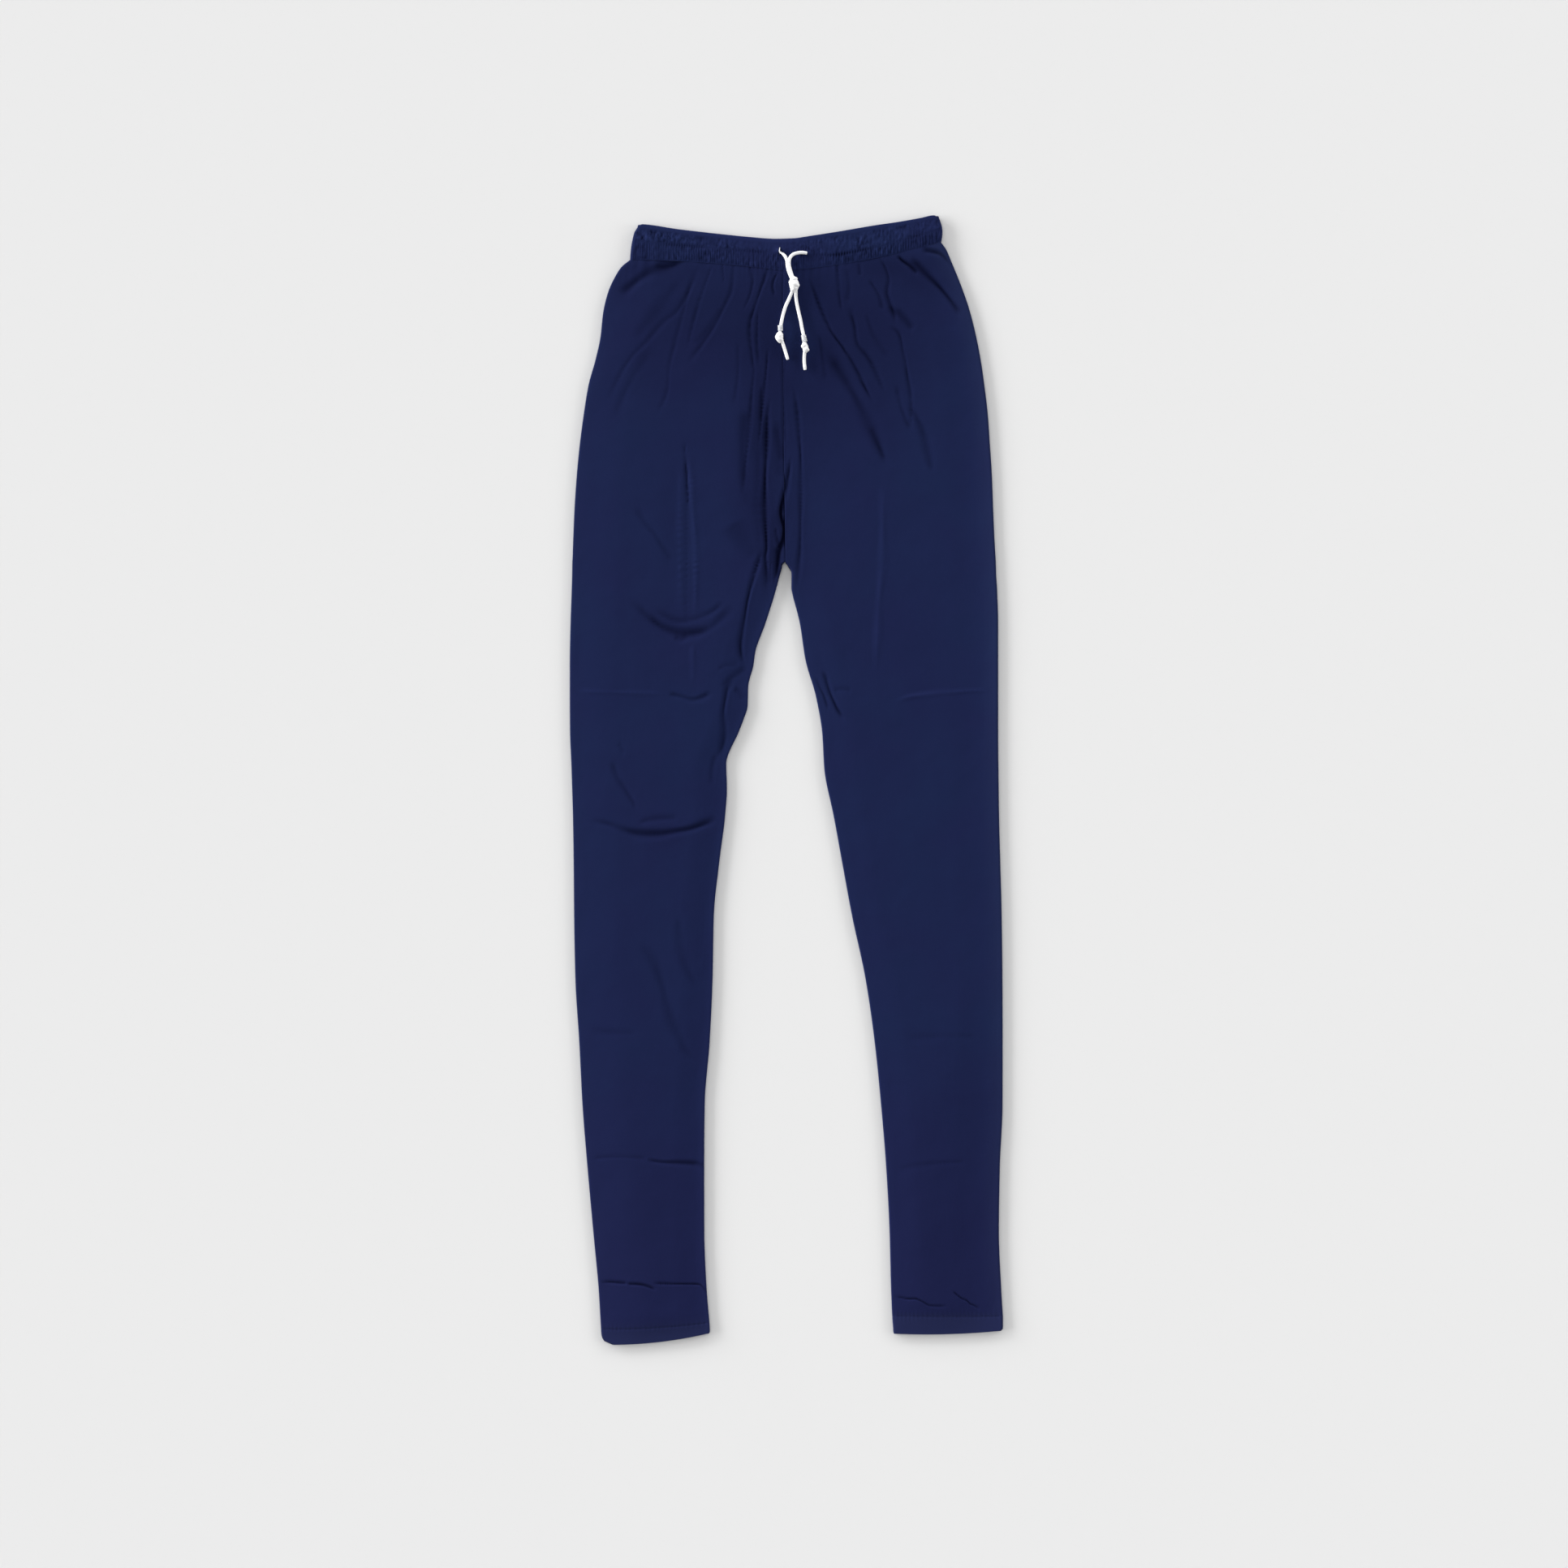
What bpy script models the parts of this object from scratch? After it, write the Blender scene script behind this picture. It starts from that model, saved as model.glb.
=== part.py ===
"""Churidar pants laid flat with the front up.

Two leg panels, each cut in one piece and closed along its inseam, a shirred
waist casing, and a drawcord knotted in front with a bead and a stopper knot on
each end. +X is the wearer's left, +Y is the waist, +Z is up from the table.
Tables and sizes are in millimetres.
"""
import math
from collections import namedtuple

import bmesh
import bpy
import numpy as np

MM = 0.001
GARMENT = "churidar_pants"

# Cloth
JERSEY = 1.2
TURNED_HEM = 1.6
HEM_DEPTH = 13.0
CASING = 2.4
SEAM_GAP = 0.3

# Heights of the laid cloth above the table
EDGE_TOP = 3.6
BAND_MEET_TOP = 4.6
LEG_RISE = 1.8
CASING_TOP = 5.2

# How far from an edge the cloth takes to reach its full height
OUTER_RISE_RUN = 45.0
INNER_RISE_RUN = 30.0
BAND_RISE_RUN = 25.0
HEM_RISE_RUN = 30.0
FOLD_FADE_RUN = 9.0

# Gathers of the casing
GATHERS = 44
COLUMNS_A_GATHER = 4
GATHER_WANDER = 0.25
GATHER_WANDER_RATE = 19.0
GATHER_DEPTH_SWING = 0.35
GATHER_DEPTH_RATE = 41.0
GATHER_LIFT_BY_ROW = (0.45, 0.6, 0.5, 0.12)
CASING_ROWS = (0.0, 0.3, 0.62, 1.0)
CASING_BACK_COLUMNS = 14

# Drawcord
CORD_RADIUS = 2.0
CORD_CLEARANCE = 0.3
CORD_SIDE_STEPS = 2
WELD = 0.01
ROUTE_STEPS = 2

# Columns of a leg panel, as fractions of the way from its inner to its outer edge
FRONT_COLUMNS = (0.0, 0.02, 0.045, 0.07, 0.092, 0.115, 0.15, 0.2, 0.27, 0.34,
                 0.41, 0.48, 0.56, 0.64, 0.72, 0.8, 0.87, 0.94, 1.0)
BACK_COLUMNS = (1.0, 0.85, 0.7, 0.55, 0.4, 0.25, 0.1, 0.0)
OUTER_FOLD_STEPS = 4
INSEAM_WRAP_STEPS = 3

# Stations of a leg panel from the casing to the hem: its inner end, its outer
# end, how far the line between them bows, and how far the inner edge has
# turned down into the inseam.
Station = namedtuple("Station", "y_in x_in y_out x_out bow turned")

RIGHT_LEG = (
    Station(486.4, -3.0, 496.9, -149.6, 2.2, 0),
    Station(478.0, -3.1, 490.5, -157.4, 2.0, 0),
    Station(464.0, -3.3, 480.0, -164.3, 1.2, 0),
    Station(446.0, -3.4, 466.0, -170.5, 0.6, 0),
    Station(424.0, -3.4, 446.0, -175.2, 0, 0),
    Station(400.0, -3.3, 424.0, -177.6, 0, 0),
    Station(375.0, -3.2, 402.0, -182.4, 0, 0),
    Station(350.0, -3.0, 378.0, -189.0, 0, 0),
    Station(325.0, -2.7, 350.0, -193.6, 0, 0),
    Station(300.0, -2.3, 320.0, -197.5, 0, 0),
    Station(275.0, -1.9, 290.0, -200.4, 0, 0),
    Station(250.0, -1.5, 258.0, -202.5, 0, 0),
    Station(228.0, -1.2, 232.0, -203.6, 0, 0),
    Station(207.8, -1.0, 210.0, -204.4, 0, 0),
    Station(203.5, -3.4, 204.5, -204.6, 0, 0.35),
    Station(198.0, -4.8, 198.5, -204.7, 0, 1),
    Station(180.0, -10.5, 180.0, -205.2, 0, 1),
    Station(150.0, -20.0, 150.0, -206.2, 0, 1),
    Station(115.0, -29.8, 115.0, -206.9, 0, 1),
    Station(80.0, -37.3, 80.0, -206.9, 0, 1),
    Station(45.0, -46.2, 45.0, -206.7, 0, 1),
    Station(10.0, -56.4, 10.0, -205.3, 0, 1),
    Station(-35.0, -57.6, -35.0, -203.9, 0, 1),
    Station(-80.0, -64.3, -80.0, -203.2, 0, 1),
    Station(-130.0, -69.3, -130.0, -202.8, 0, 1),
    Station(-190.0, -70.5, -190.0, -201.6, 0, 1),
    Station(-250.0, -73.3, -250.0, -197.9, 0, 1),
    Station(-310.0, -78.0, -310.0, -194.8, 0, 1),
    Station(-370.0, -78.5, -370.0, -190.0, 0, 1),
    Station(-430.0, -78.4, -430.0, -184.6, 0, 1),
    Station(-485.0, -76.2, -487.0, -179.3, -0.5, 1),
    Station(-514.0, -73.8, -519.0, -177.4, -1.6, 1),
    Station(-522.0, -73.4, -530.5, -176.9, -2.0, 1),
    Station(-527.8, -73.2, -539.1, -171.5, -2.2, 1),
)

LEFT_LEG = (
    Station(486.4, -3.0, 514.4, 147.7, -4.5, 0),
    Station(478.0, -3.1, 508.0, 152.4, -4.0, 0),
    Station(464.0, -3.3, 494.0, 158.4, -3.0, 0),
    Station(446.0, -3.4, 474.0, 166.5, -1.5, 0),
    Station(424.0, -3.4, 450.0, 174.8, -0.5, 0),
    Station(400.0, -3.3, 426.0, 180.9, 0, 0),
    Station(375.0, -3.2, 402.0, 185.6, 0, 0),
    Station(350.0, -3.0, 378.0, 189.1, 0, 0),
    Station(325.0, -2.7, 350.0, 192.4, 0, 0),
    Station(300.0, -2.3, 320.0, 194.5, 0, 0),
    Station(275.0, -1.9, 290.0, 196.4, 0, 0),
    Station(250.0, -1.5, 258.0, 197.6, 0, 0),
    Station(228.0, -1.2, 232.0, 198.7, 0, 0),
    Station(207.8, -1.0, 210.0, 200.0, 0, 0),
    Station(203.5, 1.8, 204.5, 200.2, 0, 0.35),
    Station(198.0, 4.6, 198.5, 200.4, 0, 1),
    Station(180.0, 5.4, 180.0, 201.3, 0, 1),
    Station(150.0, 12.8, 150.0, 202.3, 0, 1),
    Station(115.0, 18.2, 115.0, 202.3, 0, 1),
    Station(80.0, 28.2, 80.0, 202.3, 0, 1),
    Station(45.0, 34.2, 45.0, 202.3, 0, 1),
    Station(10.0, 36.3, 10.0, 202.6, 0, 1),
    Station(-35.0, 45.3, -35.0, 203.2, 0, 1),
    Station(-80.0, 53.5, -80.0, 204.4, 0, 1),
    Station(-130.0, 62.8, -130.0, 205.7, 0, 1),
    Station(-190.0, 75.6, -190.0, 206.4, 0, 1),
    Station(-250.0, 84.3, -250.0, 206.6, 0, 1),
    Station(-310.0, 90.4, -310.0, 206.5, 0, 1),
    Station(-370.0, 95.3, -370.0, 203.9, 0, 1),
    Station(-430.0, 98.5, -430.0, 203.0, 0, 1),
    Station(-485.0, 99.9, -485.0, 205.2, 0, 1),
    Station(-514.0, 101.2, -514.0, 206.9, -0.6, 1),
    Station(-522.0, 101.8, -520.0, 206.9, -1.2, 1),
    Station(-528.2, 102.3, -525.2, 205.4, -1.8, 1),
)
FIRST_HALVED_STATION = 15

# Top fold of the casing over the places along its seam
CasingTop = namedtuple("CasingTop", "x_seam x_top y_top")
CASING_EDGE = (
    CasingTop(-149.3, -143.6, 529.3),
    CasingTop(-144.0, -139.6, 530.9),
    CasingTop(-104.6, -102.0, 526.0),
    CasingTop(-60.0, -59.0, 521.1),
    CasingTop(-36.0, -36.0, 518.8),
    CasingTop(-10.0, -10.0, 517.0),
    CasingTop(8.0, 8.0, 517.6),
    CasingTop(20.0, 19.0, 519.2),
    CasingTop(51.0, 51.0, 524.2),
    CasingTop(84.0, 84.0, 529.8),
    CasingTop(106.0, 106.0, 533.0),
    CasingTop(130.0, 128.0, 536.9),
    CasingTop(143.0, 140.8, 539.4),
    CasingTop(147.8, 145.6, 537.0),
)

# Folds of the front: a soft curve by its start, its middle and its end, how far
# it reaches to each side, and how far it lifts the cloth (below 0 it sinks).
Fold = namedtuple("Fold", "x1 y1 x2 y2 x3 y3 reach lift")
FOLDS = (
    Fold(-104.0, 493.0, -127.0, 488.0, -155.0, 468.0, 7.0, -1.5),
    Fold(-88.0, 485.0, -140.0, 412.0, -172.0, 357.0, 6.0, -0.5),
    Fold(-51.0, 479.0, -62.0, 440.0, -94.0, 400.0, 6.0, -0.5),
    Fold(-25.6, 483.0, -22.5, 465.0, -32.5, 443.0, 5.0, -1.1),
    Fold(-33.0, 420.0, -37.0, 350.0, -39.5, 284.0, 7.0, -1.0),
    Fold(-16.0, 401.0, -20.5, 300.0, -18.0, 182.0, 5.0, -2.2),
    Fold(3.0, 303.0, -4.5, 255.0, -9.0, 203.0, 4.5, -2.2),
    Fold(12.4, 396.0, 13.5, 300.0, 12.0, 187.0, 4.5, -1.0),
    Fold(23.0, 471.0, 48.0, 423.0, 81.0, 362.0, 6.0, -1.2),
    Fold(46.0, 396.0, 78.0, 345.0, 98.0, 292.0, 8.0, -1.4),
    Fold(101.0, 394.0, 124.0, 350.0, 139.0, 284.0, 7.0, -0.5),
    Fold(123.0, 494.0, 143.0, 474.0, 170.5, 444.5, 7.0, -1.5),
    Fold(134.0, 505.0, 145.0, 502.0, 154.0, 492.0, 5.0, -0.8),
    Fold(-97.0, 313.0, -97.0, 240.0, -93.0, 125.0, 6.0, 0.7),
    Fold(92.0, 284.0, 90.0, 190.0, 84.5, 101.0, 7.0, 0.5),
    Fold(-27.0, 207.0, -41.0, 160.0, -46.5, 127.0, 6.0, -1.2),
    Fold(-146.0, 168.0, -99.0, 104.0, -49.6, 165.0, 8.0, -1.3),
    Fold(-123.0, 81.0, -92.0, 83.0, -60.0, 85.0, 7.0, -0.8),
    Fold(-49.6, 99.0, -60.0, 60.0, -69.0, 4.0, 6.0, -0.9),
    Fold(106.0, 76.0, 150.0, 81.0, 195.0, 86.0, 7.0, 0.5),
    Fold(-185.0, -39.0, -127.0, -66.0, -71.0, -39.0, 8.0, -1.3),
    Fold(-139.0, -158.0, -124.0, -210.0, -97.0, -258.0, 8.0, -0.7),
    Fold(-132.5, -363.0, -106.0, -365.0, -83.0, -367.0, 7.0, -1.0),
    Fold(-172.0, -478.0, -150.0, -480.0, -125.0, -485.0, 6.0, -0.7),
    Fold(106.0, -492.0, 140.0, -503.0, 162.0, -502.0, 6.0, -0.7),
)
FOLD_SAMPLES = 25
FOLD_TAPER = 0.2

# Drawcord routes by hand, from the eyelet to the blunt end
RIGHT_ROUTE = (
    (-6.6, 504.0, 5.9), (-3.4, 502.1, 6.7), (-0.9, 499.2, 7.6), (0.5, 495.4, 7.7),
    (0.9, 491.0, 7.7), (1.9, 486.4, 7.7), (3.5, 481.9, 8.0), (5.4, 477.4, 8.6),
    (6.6, 472.5, 8.7), (6.1, 468.3, 8.2), (4.5, 464.8, 7.7), (1.6, 459.2, 7.7),
    (-1.6, 452.2, 7.7), (-3.9, 445.2, 7.7), (-5.3, 438.3, 8.1), (-5.8, 431.3, 8.7),
    (-6.0, 426.0, 8.7), (-5.2, 421.0, 8.6), (-3.4, 416.4, 8.2), (-1.2, 409.6, 7.7),
    (1.3, 401.2, 7.7),
)
LEFT_ROUTE = (
    (19.6, 503.0, 5.9), (15.5, 503.4, 6.7), (11.4, 503.0, 8.0), (7.2, 501.6, 9.9),
    (4.2, 499.0, 11.4), (2.7, 495.4, 11.8), (2.6, 491.0, 11.8), (3.6, 486.4, 11.9),
    (5.0, 481.9, 12.1), (6.7, 477.4, 12.7), (8.2, 472.5, 12.8), (8.9, 468.3, 11.9),
    (9.0, 464.5, 9.8), (9.1, 460.4, 8.0), (10.1, 453.8, 7.7), (12.0, 445.2, 7.7),
    (13.6, 438.3, 7.7), (14.8, 431.5, 8.1), (16.0, 426.0, 8.6), (17.0, 420.8, 8.7),
    (17.7, 416.0, 8.7), (17.8, 411.6, 8.5), (17.2, 406.2, 7.9), (17.0, 399.5, 7.7),
    (17.8, 391.4, 7.7),
)
ROUTE_POINTS_IN_CASING = 3

# Lumps of the knots: centre and half sizes
Lump = namedtuple("Lump", "x y z half_x half_y half_z")
FRONT_KNOT = Lump(7.3, 473.4, 10.9, 5.4, 7.0, 5.5)
RIGHT_STOPPER = Lump(-6.4, 422.4, 9.9, 4.5, 5.1, 4.2)
LEFT_STOPPER = Lump(17.8, 412.6, 9.5, 4.0, 4.3, 3.8)
LUMP_SEGMENTS = 16
LUMP_RINGS = 10

# Beads: centre, length and lean of the sleeve to the cord
Bead = namedtuple("Bead", "x y z radius length lean")
RIGHT_BEAD = Bead(-5.8, 431.2, 8.7, 2.9, 5.6, 0.05)
LEFT_BEAD = Bead(16.9, 421.2, 8.7, 2.9, 6.6, 0.2)
BEAD_SIDES = 16
BEAD_EDGE = 0.3

MATERIALS = {
    "navy_jersey": ((0.0130, 0.0194, 0.0685, 1.0), 0.85, 0.0),
    "white_cord": ((0.80, 0.80, 0.82, 1.0), 0.8, 0.0),
    "clear_bead": ((0.62, 0.64, 0.68, 1.0), 0.15, 0.0),
}


def ease(value):
    """Rise from 0 to 1, level at both ends."""
    held = np.clip(value, 0.0, 1.0)
    return held * held * (3.0 - 2.0 * held)


def through(places, values, at):
    """Read a soft curve through the table's values, with no swing past them."""
    places = np.asarray(places, float)
    values = np.asarray(values, float)
    run = np.diff(places)
    pitch = np.diff(values) / run
    slope = np.empty(len(values))
    slope[0] = pitch[0]
    slope[-1] = pitch[-1]
    for i in range(1, len(values) - 1):
        before, after = pitch[i - 1], pitch[i]
        slope[i] = 2.0 * before * after / (before + after) if before * after > 0 else 0.0
    i = int(np.clip(np.searchsorted(places, at, "right") - 1, 0, len(run) - 1))
    f = (at - places[i]) / run[i]
    start = (1.0 + 2.0 * f) * (1.0 - f) ** 2 * values[i]
    end = f * f * (3.0 - 2.0 * f) * values[i + 1]
    leave = f * (1.0 - f) ** 2 * run[i] * slope[i]
    arrive = f * f * (1.0 - f) * run[i] * slope[i + 1]
    return start + end + leave - arrive


def fold_paths():
    """Sample each fold's curve, with its lift dying out toward both ends."""
    t = np.linspace(0.0, 1.0, FOLD_SAMPLES)
    near_ends = ease(np.minimum(t, 1.0 - t) / FOLD_TAPER)
    paths = []
    for fold in FOLDS:
        x = (1 - t) ** 2 * fold.x1 + 2 * t * (1 - t) * fold.x2 + t * t * fold.x3
        y = (1 - t) ** 2 * fold.y1 + 2 * t * (1 - t) * fold.y2 + t * t * fold.y3
        paths.append((x, y, near_ends * fold.lift, fold.reach))
    return paths


FOLD_PATHS = fold_paths()


def fold_lift(x, y):
    """Height that the folds add to the cloth at one place."""
    total = 0.0
    for path_x, path_y, lift, reach in FOLD_PATHS:
        away = np.hypot(path_x - x, path_y - y)
        nearest = int(np.argmin(away))
        total += lift[nearest] * math.exp(-((away[nearest] / reach) ** 2))
    return total


def panel_rows(stations):
    """Stations of a panel, with one more between each pair below the crotch."""
    places = list(range(FIRST_HALVED_STATION))
    place = float(FIRST_HALVED_STATION)
    while place <= len(stations) - 1:
        places.append(place)
        place += 0.5
    index = range(len(stations))
    columns = [[getattr(station, name) for station in stations] for name in Station._fields]
    return [Station(*[through(index, column, place) for column in columns]) for place in places]


def along_row(row, x):
    """Y of a row where it crosses x, between its inner and its outer end."""
    fraction = np.clip((x - row.x_in) / (row.x_out - row.x_in), 0.0, 1.0)
    straight = row.y_in + (row.y_out - row.y_in) * fraction
    return straight + row.bow * 4.0 * fraction * (1.0 - fraction)


def bend(length, angle, steps):
    """Run and drop of a strip that turns evenly through an angle, from its root."""
    points = []
    for i in range(1, steps + 1):
        turned = angle * i / steps
        if angle == 0.0:
            points.append((length * i / steps, 0.0, 0.0))
        else:
            radius = length / angle
            points.append((radius * math.sin(turned), radius * (1.0 - math.cos(turned)), turned))
    return points


def leg_section(side, row, first_row, last_row):
    """Middle line of one section and its outward directions, from inseam to inseam."""
    hem_near = abs(row.y_out - last_row.y_out)
    cloth = TURNED_HEM if hem_near < HEM_DEPTH else JERSEY
    below_band = first_row.y_out - row.y_out
    edge_top = EDGE_TOP + (BAND_MEET_TOP - EDGE_TOP) * (1.0 - ease(below_band / BAND_RISE_RUN))
    back = cloth / 2.0
    front_edge = edge_top - cloth / 2.0
    fold_radius = (front_edge - back) / 2.0
    wrap_radius = fold_radius - SEAM_GAP / 2.0
    wrap = bend(wrap_radius * math.pi / 2.0, row.turned * math.pi / 2.0, INSEAM_WRAP_STEPS)
    inner = side * row.x_in + SEAM_GAP / 2.0 * (1.0 - row.turned)
    root = inner + wrap[-1][0] + cloth / 2.0 * math.sin(wrap[-1][2])
    outer = side * row.x_out - cloth / 2.0 - fold_radius
    rise = LEG_RISE * ease(below_band / BAND_RISE_RUN) * ease(hem_near / HEM_RISE_RUN)

    def top(across, y):
        from_outer = outer - across
        from_inner = across - root
        open_inside = 1.0 - row.turned
        inside = open_inside + row.turned * ease(from_inner / INNER_RISE_RUN)
        fold_inside = open_inside + row.turned * ease(from_inner / FOLD_FADE_RUN)
        fold_edges = ease(from_outer / FOLD_FADE_RUN) * fold_inside * ease(hem_near / HEM_RISE_RUN)
        body = rise * ease(from_outer / OUTER_RISE_RUN) * inside
        return edge_top + body + fold_lift(side * across, y) * fold_edges

    points = []
    y_inner = along_row(row, side * root)
    root_top = top(root, y_inner) - cloth / 2.0
    for run, drop, turned in reversed(wrap):
        points.append((root - run, y_inner, root_top - drop, -math.sin(turned), math.cos(turned)))
    front = []
    for fraction in FRONT_COLUMNS:
        across = root + (outer - root) * fraction
        y = along_row(row, side * across)
        front.append((across, y, top(across, y) - cloth / 2.0))
    for i, (across, y, z) in enumerate(front):
        before = front[max(i - 1, 0)]
        after = front[min(i + 1, len(front) - 1)]
        slope = (after[2] - before[2]) / (after[0] - before[0])
        if i in (0, len(front) - 1):
            slope = 0.0
        length = math.hypot(1.0, slope)
        points.append((across, y, z, -slope / length, 1.0 / length))
    y_outer = along_row(row, side * outer)
    middle = (front_edge + back) / 2.0
    for i in range(1, OUTER_FOLD_STEPS):
        angle = math.pi / 2.0 - math.pi * i / OUTER_FOLD_STEPS
        out, up = math.cos(angle), math.sin(angle)
        points.append((outer + fold_radius * out, y_outer, middle + fold_radius * up, out, up))
    for fraction in BACK_COLUMNS:
        across = root + (outer - root) * fraction
        points.append((across, along_row(row, side * across), back, 0.0, -1.0))
    for run, drop, turned in wrap:
        points.append((root - run, y_inner, back + drop, -math.sin(turned), -math.cos(turned)))
    return cloth, points


def wall_body(name, outer, inner, ring):
    """Close a wall between two grids of points, open or joined into a ring."""
    rows, columns = len(outer), len(outer[0])
    bm = bmesh.new()
    skins = []
    for grid in (outer, inner):
        skins.append([[bm.verts.new([c * MM for c in point]) for point in row] for row in grid])
    last = columns if ring else columns - 1
    for r in range(rows - 1):
        for c in range(last):
            n = (c + 1) % columns
            for skin in skins:
                bm.faces.new((skin[r][c], skin[r][n], skin[r + 1][n], skin[r + 1][c]))
    for r in (0, rows - 1):
        for c in range(last):
            n = (c + 1) % columns
            bm.faces.new((skins[0][r][c], skins[0][r][n], skins[1][r][n], skins[1][r][c]))
    if not ring:
        for c in (0, columns - 1):
            for r in range(rows - 1):
                bm.faces.new((skins[0][r][c], skins[0][r + 1][c], skins[1][r + 1][c], skins[1][r][c]))
    bmesh.ops.recalc_face_normals(bm, faces=bm.faces)
    mesh = bpy.data.meshes.new(name)
    bm.to_mesh(mesh)
    bm.free()
    mesh.shade_smooth()
    mesh.set_sharp_from_angle(angle=math.radians(60.0))
    return bpy.data.objects.new(name, mesh)


def leg_panel(name, side, stations):
    """One leg in one piece: round the outer fold and back to the inseam."""
    rows = panel_rows(stations)
    outer, inner = [], []
    for i, row in enumerate(rows):
        cloth, section = leg_section(side, row, rows[0], rows[-1])
        half = cloth / 2.0
        outer.append([(side * (u + nu * half), y, z + nz * half) for u, y, z, nu, nz in section])
        inner.append([(side * (u - nu * half), y, z - nz * half) for u, y, z, nu, nz in section])
    return wall_body(name, outer, inner, ring=False)


def seam_line(x):
    """Y of the seam between the legs and the casing."""
    stations = RIGHT_LEG if x < RIGHT_LEG[0].x_in else LEFT_LEG
    return along_row(stations[0], x)


def gather_lift(along, row):
    """Height of the gathers at a place along the casing."""
    place = GATHERS * along + GATHER_WANDER * math.sin(GATHER_WANDER_RATE * along)
    depth = 1.0 - GATHER_DEPTH_SWING * (0.5 + 0.5 * math.sin(GATHER_DEPTH_RATE * along + row))
    return GATHER_LIFT_BY_ROW[row] * depth * math.cos(2.0 * math.pi * place)


def waist_casing(name):
    """Folded casing: gathered in front, folded over at both sides, flat behind."""
    back = CASING / 2.0
    front = CASING_TOP - CASING / 2.0
    radius = (front - back) / 2.0
    middle = (front + back) / 2.0
    from_side = radius + CASING / 2.0
    seam_places = [place.x_seam for place in CASING_EDGE]
    left_end = seam_places[0] + from_side
    right_end = seam_places[-1] - from_side
    columns = GATHERS * COLUMNS_A_GATHER

    def place_on(along, height):
        x_seam = left_end + (right_end - left_end) * along
        y_seam = seam_line(x_seam) + SEAM_GAP
        x_top = through(seam_places, [place.x_top for place in CASING_EDGE], x_seam)
        y_top = through(seam_places, [place.y_top for place in CASING_EDGE], x_seam)
        return x_seam + (x_top - x_seam) * height, y_seam + (y_top - y_seam) * height

    outer, inner = [], []
    for row, height in enumerate(CASING_ROWS):
        section = []
        for c in range(columns + 1):
            along = c / columns
            x, y = place_on(along, height)
            section.append((x, y, front, 0.0, 1.0, gather_lift(along, row)))
        x_end, y_end = place_on(1.0, height)
        for i in range(1, OUTER_FOLD_STEPS):
            angle = math.pi / 2.0 - math.pi * i / OUTER_FOLD_STEPS
            out, up = math.cos(angle), math.sin(angle)
            section.append((x_end + radius * out, y_end, middle + radius * up, out, up, 0.0))
        for c in range(CASING_BACK_COLUMNS + 1):
            x, y = place_on(1.0 - c / CASING_BACK_COLUMNS, height)
            section.append((x, y, back, 0.0, -1.0, 0.0))
        x_start, y_start = place_on(0.0, height)
        for i in range(1, OUTER_FOLD_STEPS):
            angle = -math.pi / 2.0 - math.pi * i / OUTER_FOLD_STEPS
            out, up = math.cos(angle), math.sin(angle)
            section.append((x_start + radius * out, y_start, middle + radius * up, out, up, 0.0))
        half = CASING / 2.0
        outer.append([(x + nx * half, y, z + nz * half + lift) for x, y, z, nx, nz, lift in section])
        inner.append([(x - nx * half, y, z - nz * half) for x, y, z, nx, nz, lift in section])
    return wall_body(name, outer, inner, ring=True)


def smooth_route(points, steps):
    """Round off a hand-laid route without leaving its points."""
    points = np.asarray(points, float)
    route = []
    for i in range(len(points) - 1):
        p0 = points[max(i - 1, 0)]
        p1, p2 = points[i], points[i + 1]
        p3 = points[min(i + 2, len(points) - 1)]
        for step in range(steps):
            t = step / steps
            a = 2.0 * p1
            b = (p2 - p0) * t
            c = (2.0 * p0 - 5.0 * p1 + 4.0 * p2 - p3) * t * t
            d = (3.0 * p1 - p0 - 3.0 * p2 + p3) * t ** 3
            route.append(0.5 * (a + b + c + d))
    route.append(points[-1])
    return route


def cord_tube(name, route, radius):
    """A round cord along a route, with closed ends."""
    curve = bpy.data.curves.new(name, "CURVE")
    curve.dimensions = "3D"
    curve.bevel_depth = radius * MM
    curve.bevel_resolution = CORD_SIDE_STEPS
    curve.use_fill_caps = True
    spline = curve.splines.new("POLY")
    spline.points.add(len(route) - 1)
    for point, place in zip(spline.points, route):
        point.co = (*[c * MM for c in place], 1.0)
    spline.use_smooth = True
    return bpy.data.objects.new(name, curve)


def closed_mesh(tube):
    """The same tube as one closed mesh."""
    mesh = bpy.data.meshes.new_from_object(tube)
    bm = bmesh.new()
    bm.from_mesh(mesh)
    bmesh.ops.remove_doubles(bm, verts=bm.verts, dist=WELD * MM)
    bmesh.ops.recalc_face_normals(bm, faces=bm.faces)
    bm.to_mesh(mesh)
    bm.free()
    name = tube.name
    bpy.data.objects.remove(tube)
    return bpy.data.objects.new(name, mesh)


def solid_from(name, build):
    """A mesh object from modelling steps on an empty mesh."""
    bm = bmesh.new()
    build(bm)
    bmesh.ops.recalc_face_normals(bm, faces=bm.faces)
    mesh = bpy.data.meshes.new(name)
    bm.to_mesh(mesh)
    bm.free()
    mesh.shade_smooth()
    mesh.set_sharp_from_angle(angle=math.radians(50.0))
    return bpy.data.objects.new(name, mesh)


def knot_lump(name, lump):
    """The rounded body of a pulled-tight knot."""
    def build(bm):
        bmesh.ops.create_uvsphere(bm, u_segments=LUMP_SEGMENTS, v_segments=LUMP_RINGS, radius=1.0)
        halves = [lump.half_x * MM, lump.half_y * MM, lump.half_z * MM]
        bmesh.ops.scale(bm, vec=halves, verts=bm.verts)
        bmesh.ops.translate(bm, vec=[lump.x * MM, lump.y * MM, lump.z * MM], verts=bm.verts)
    return solid_from(name, build)


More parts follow.
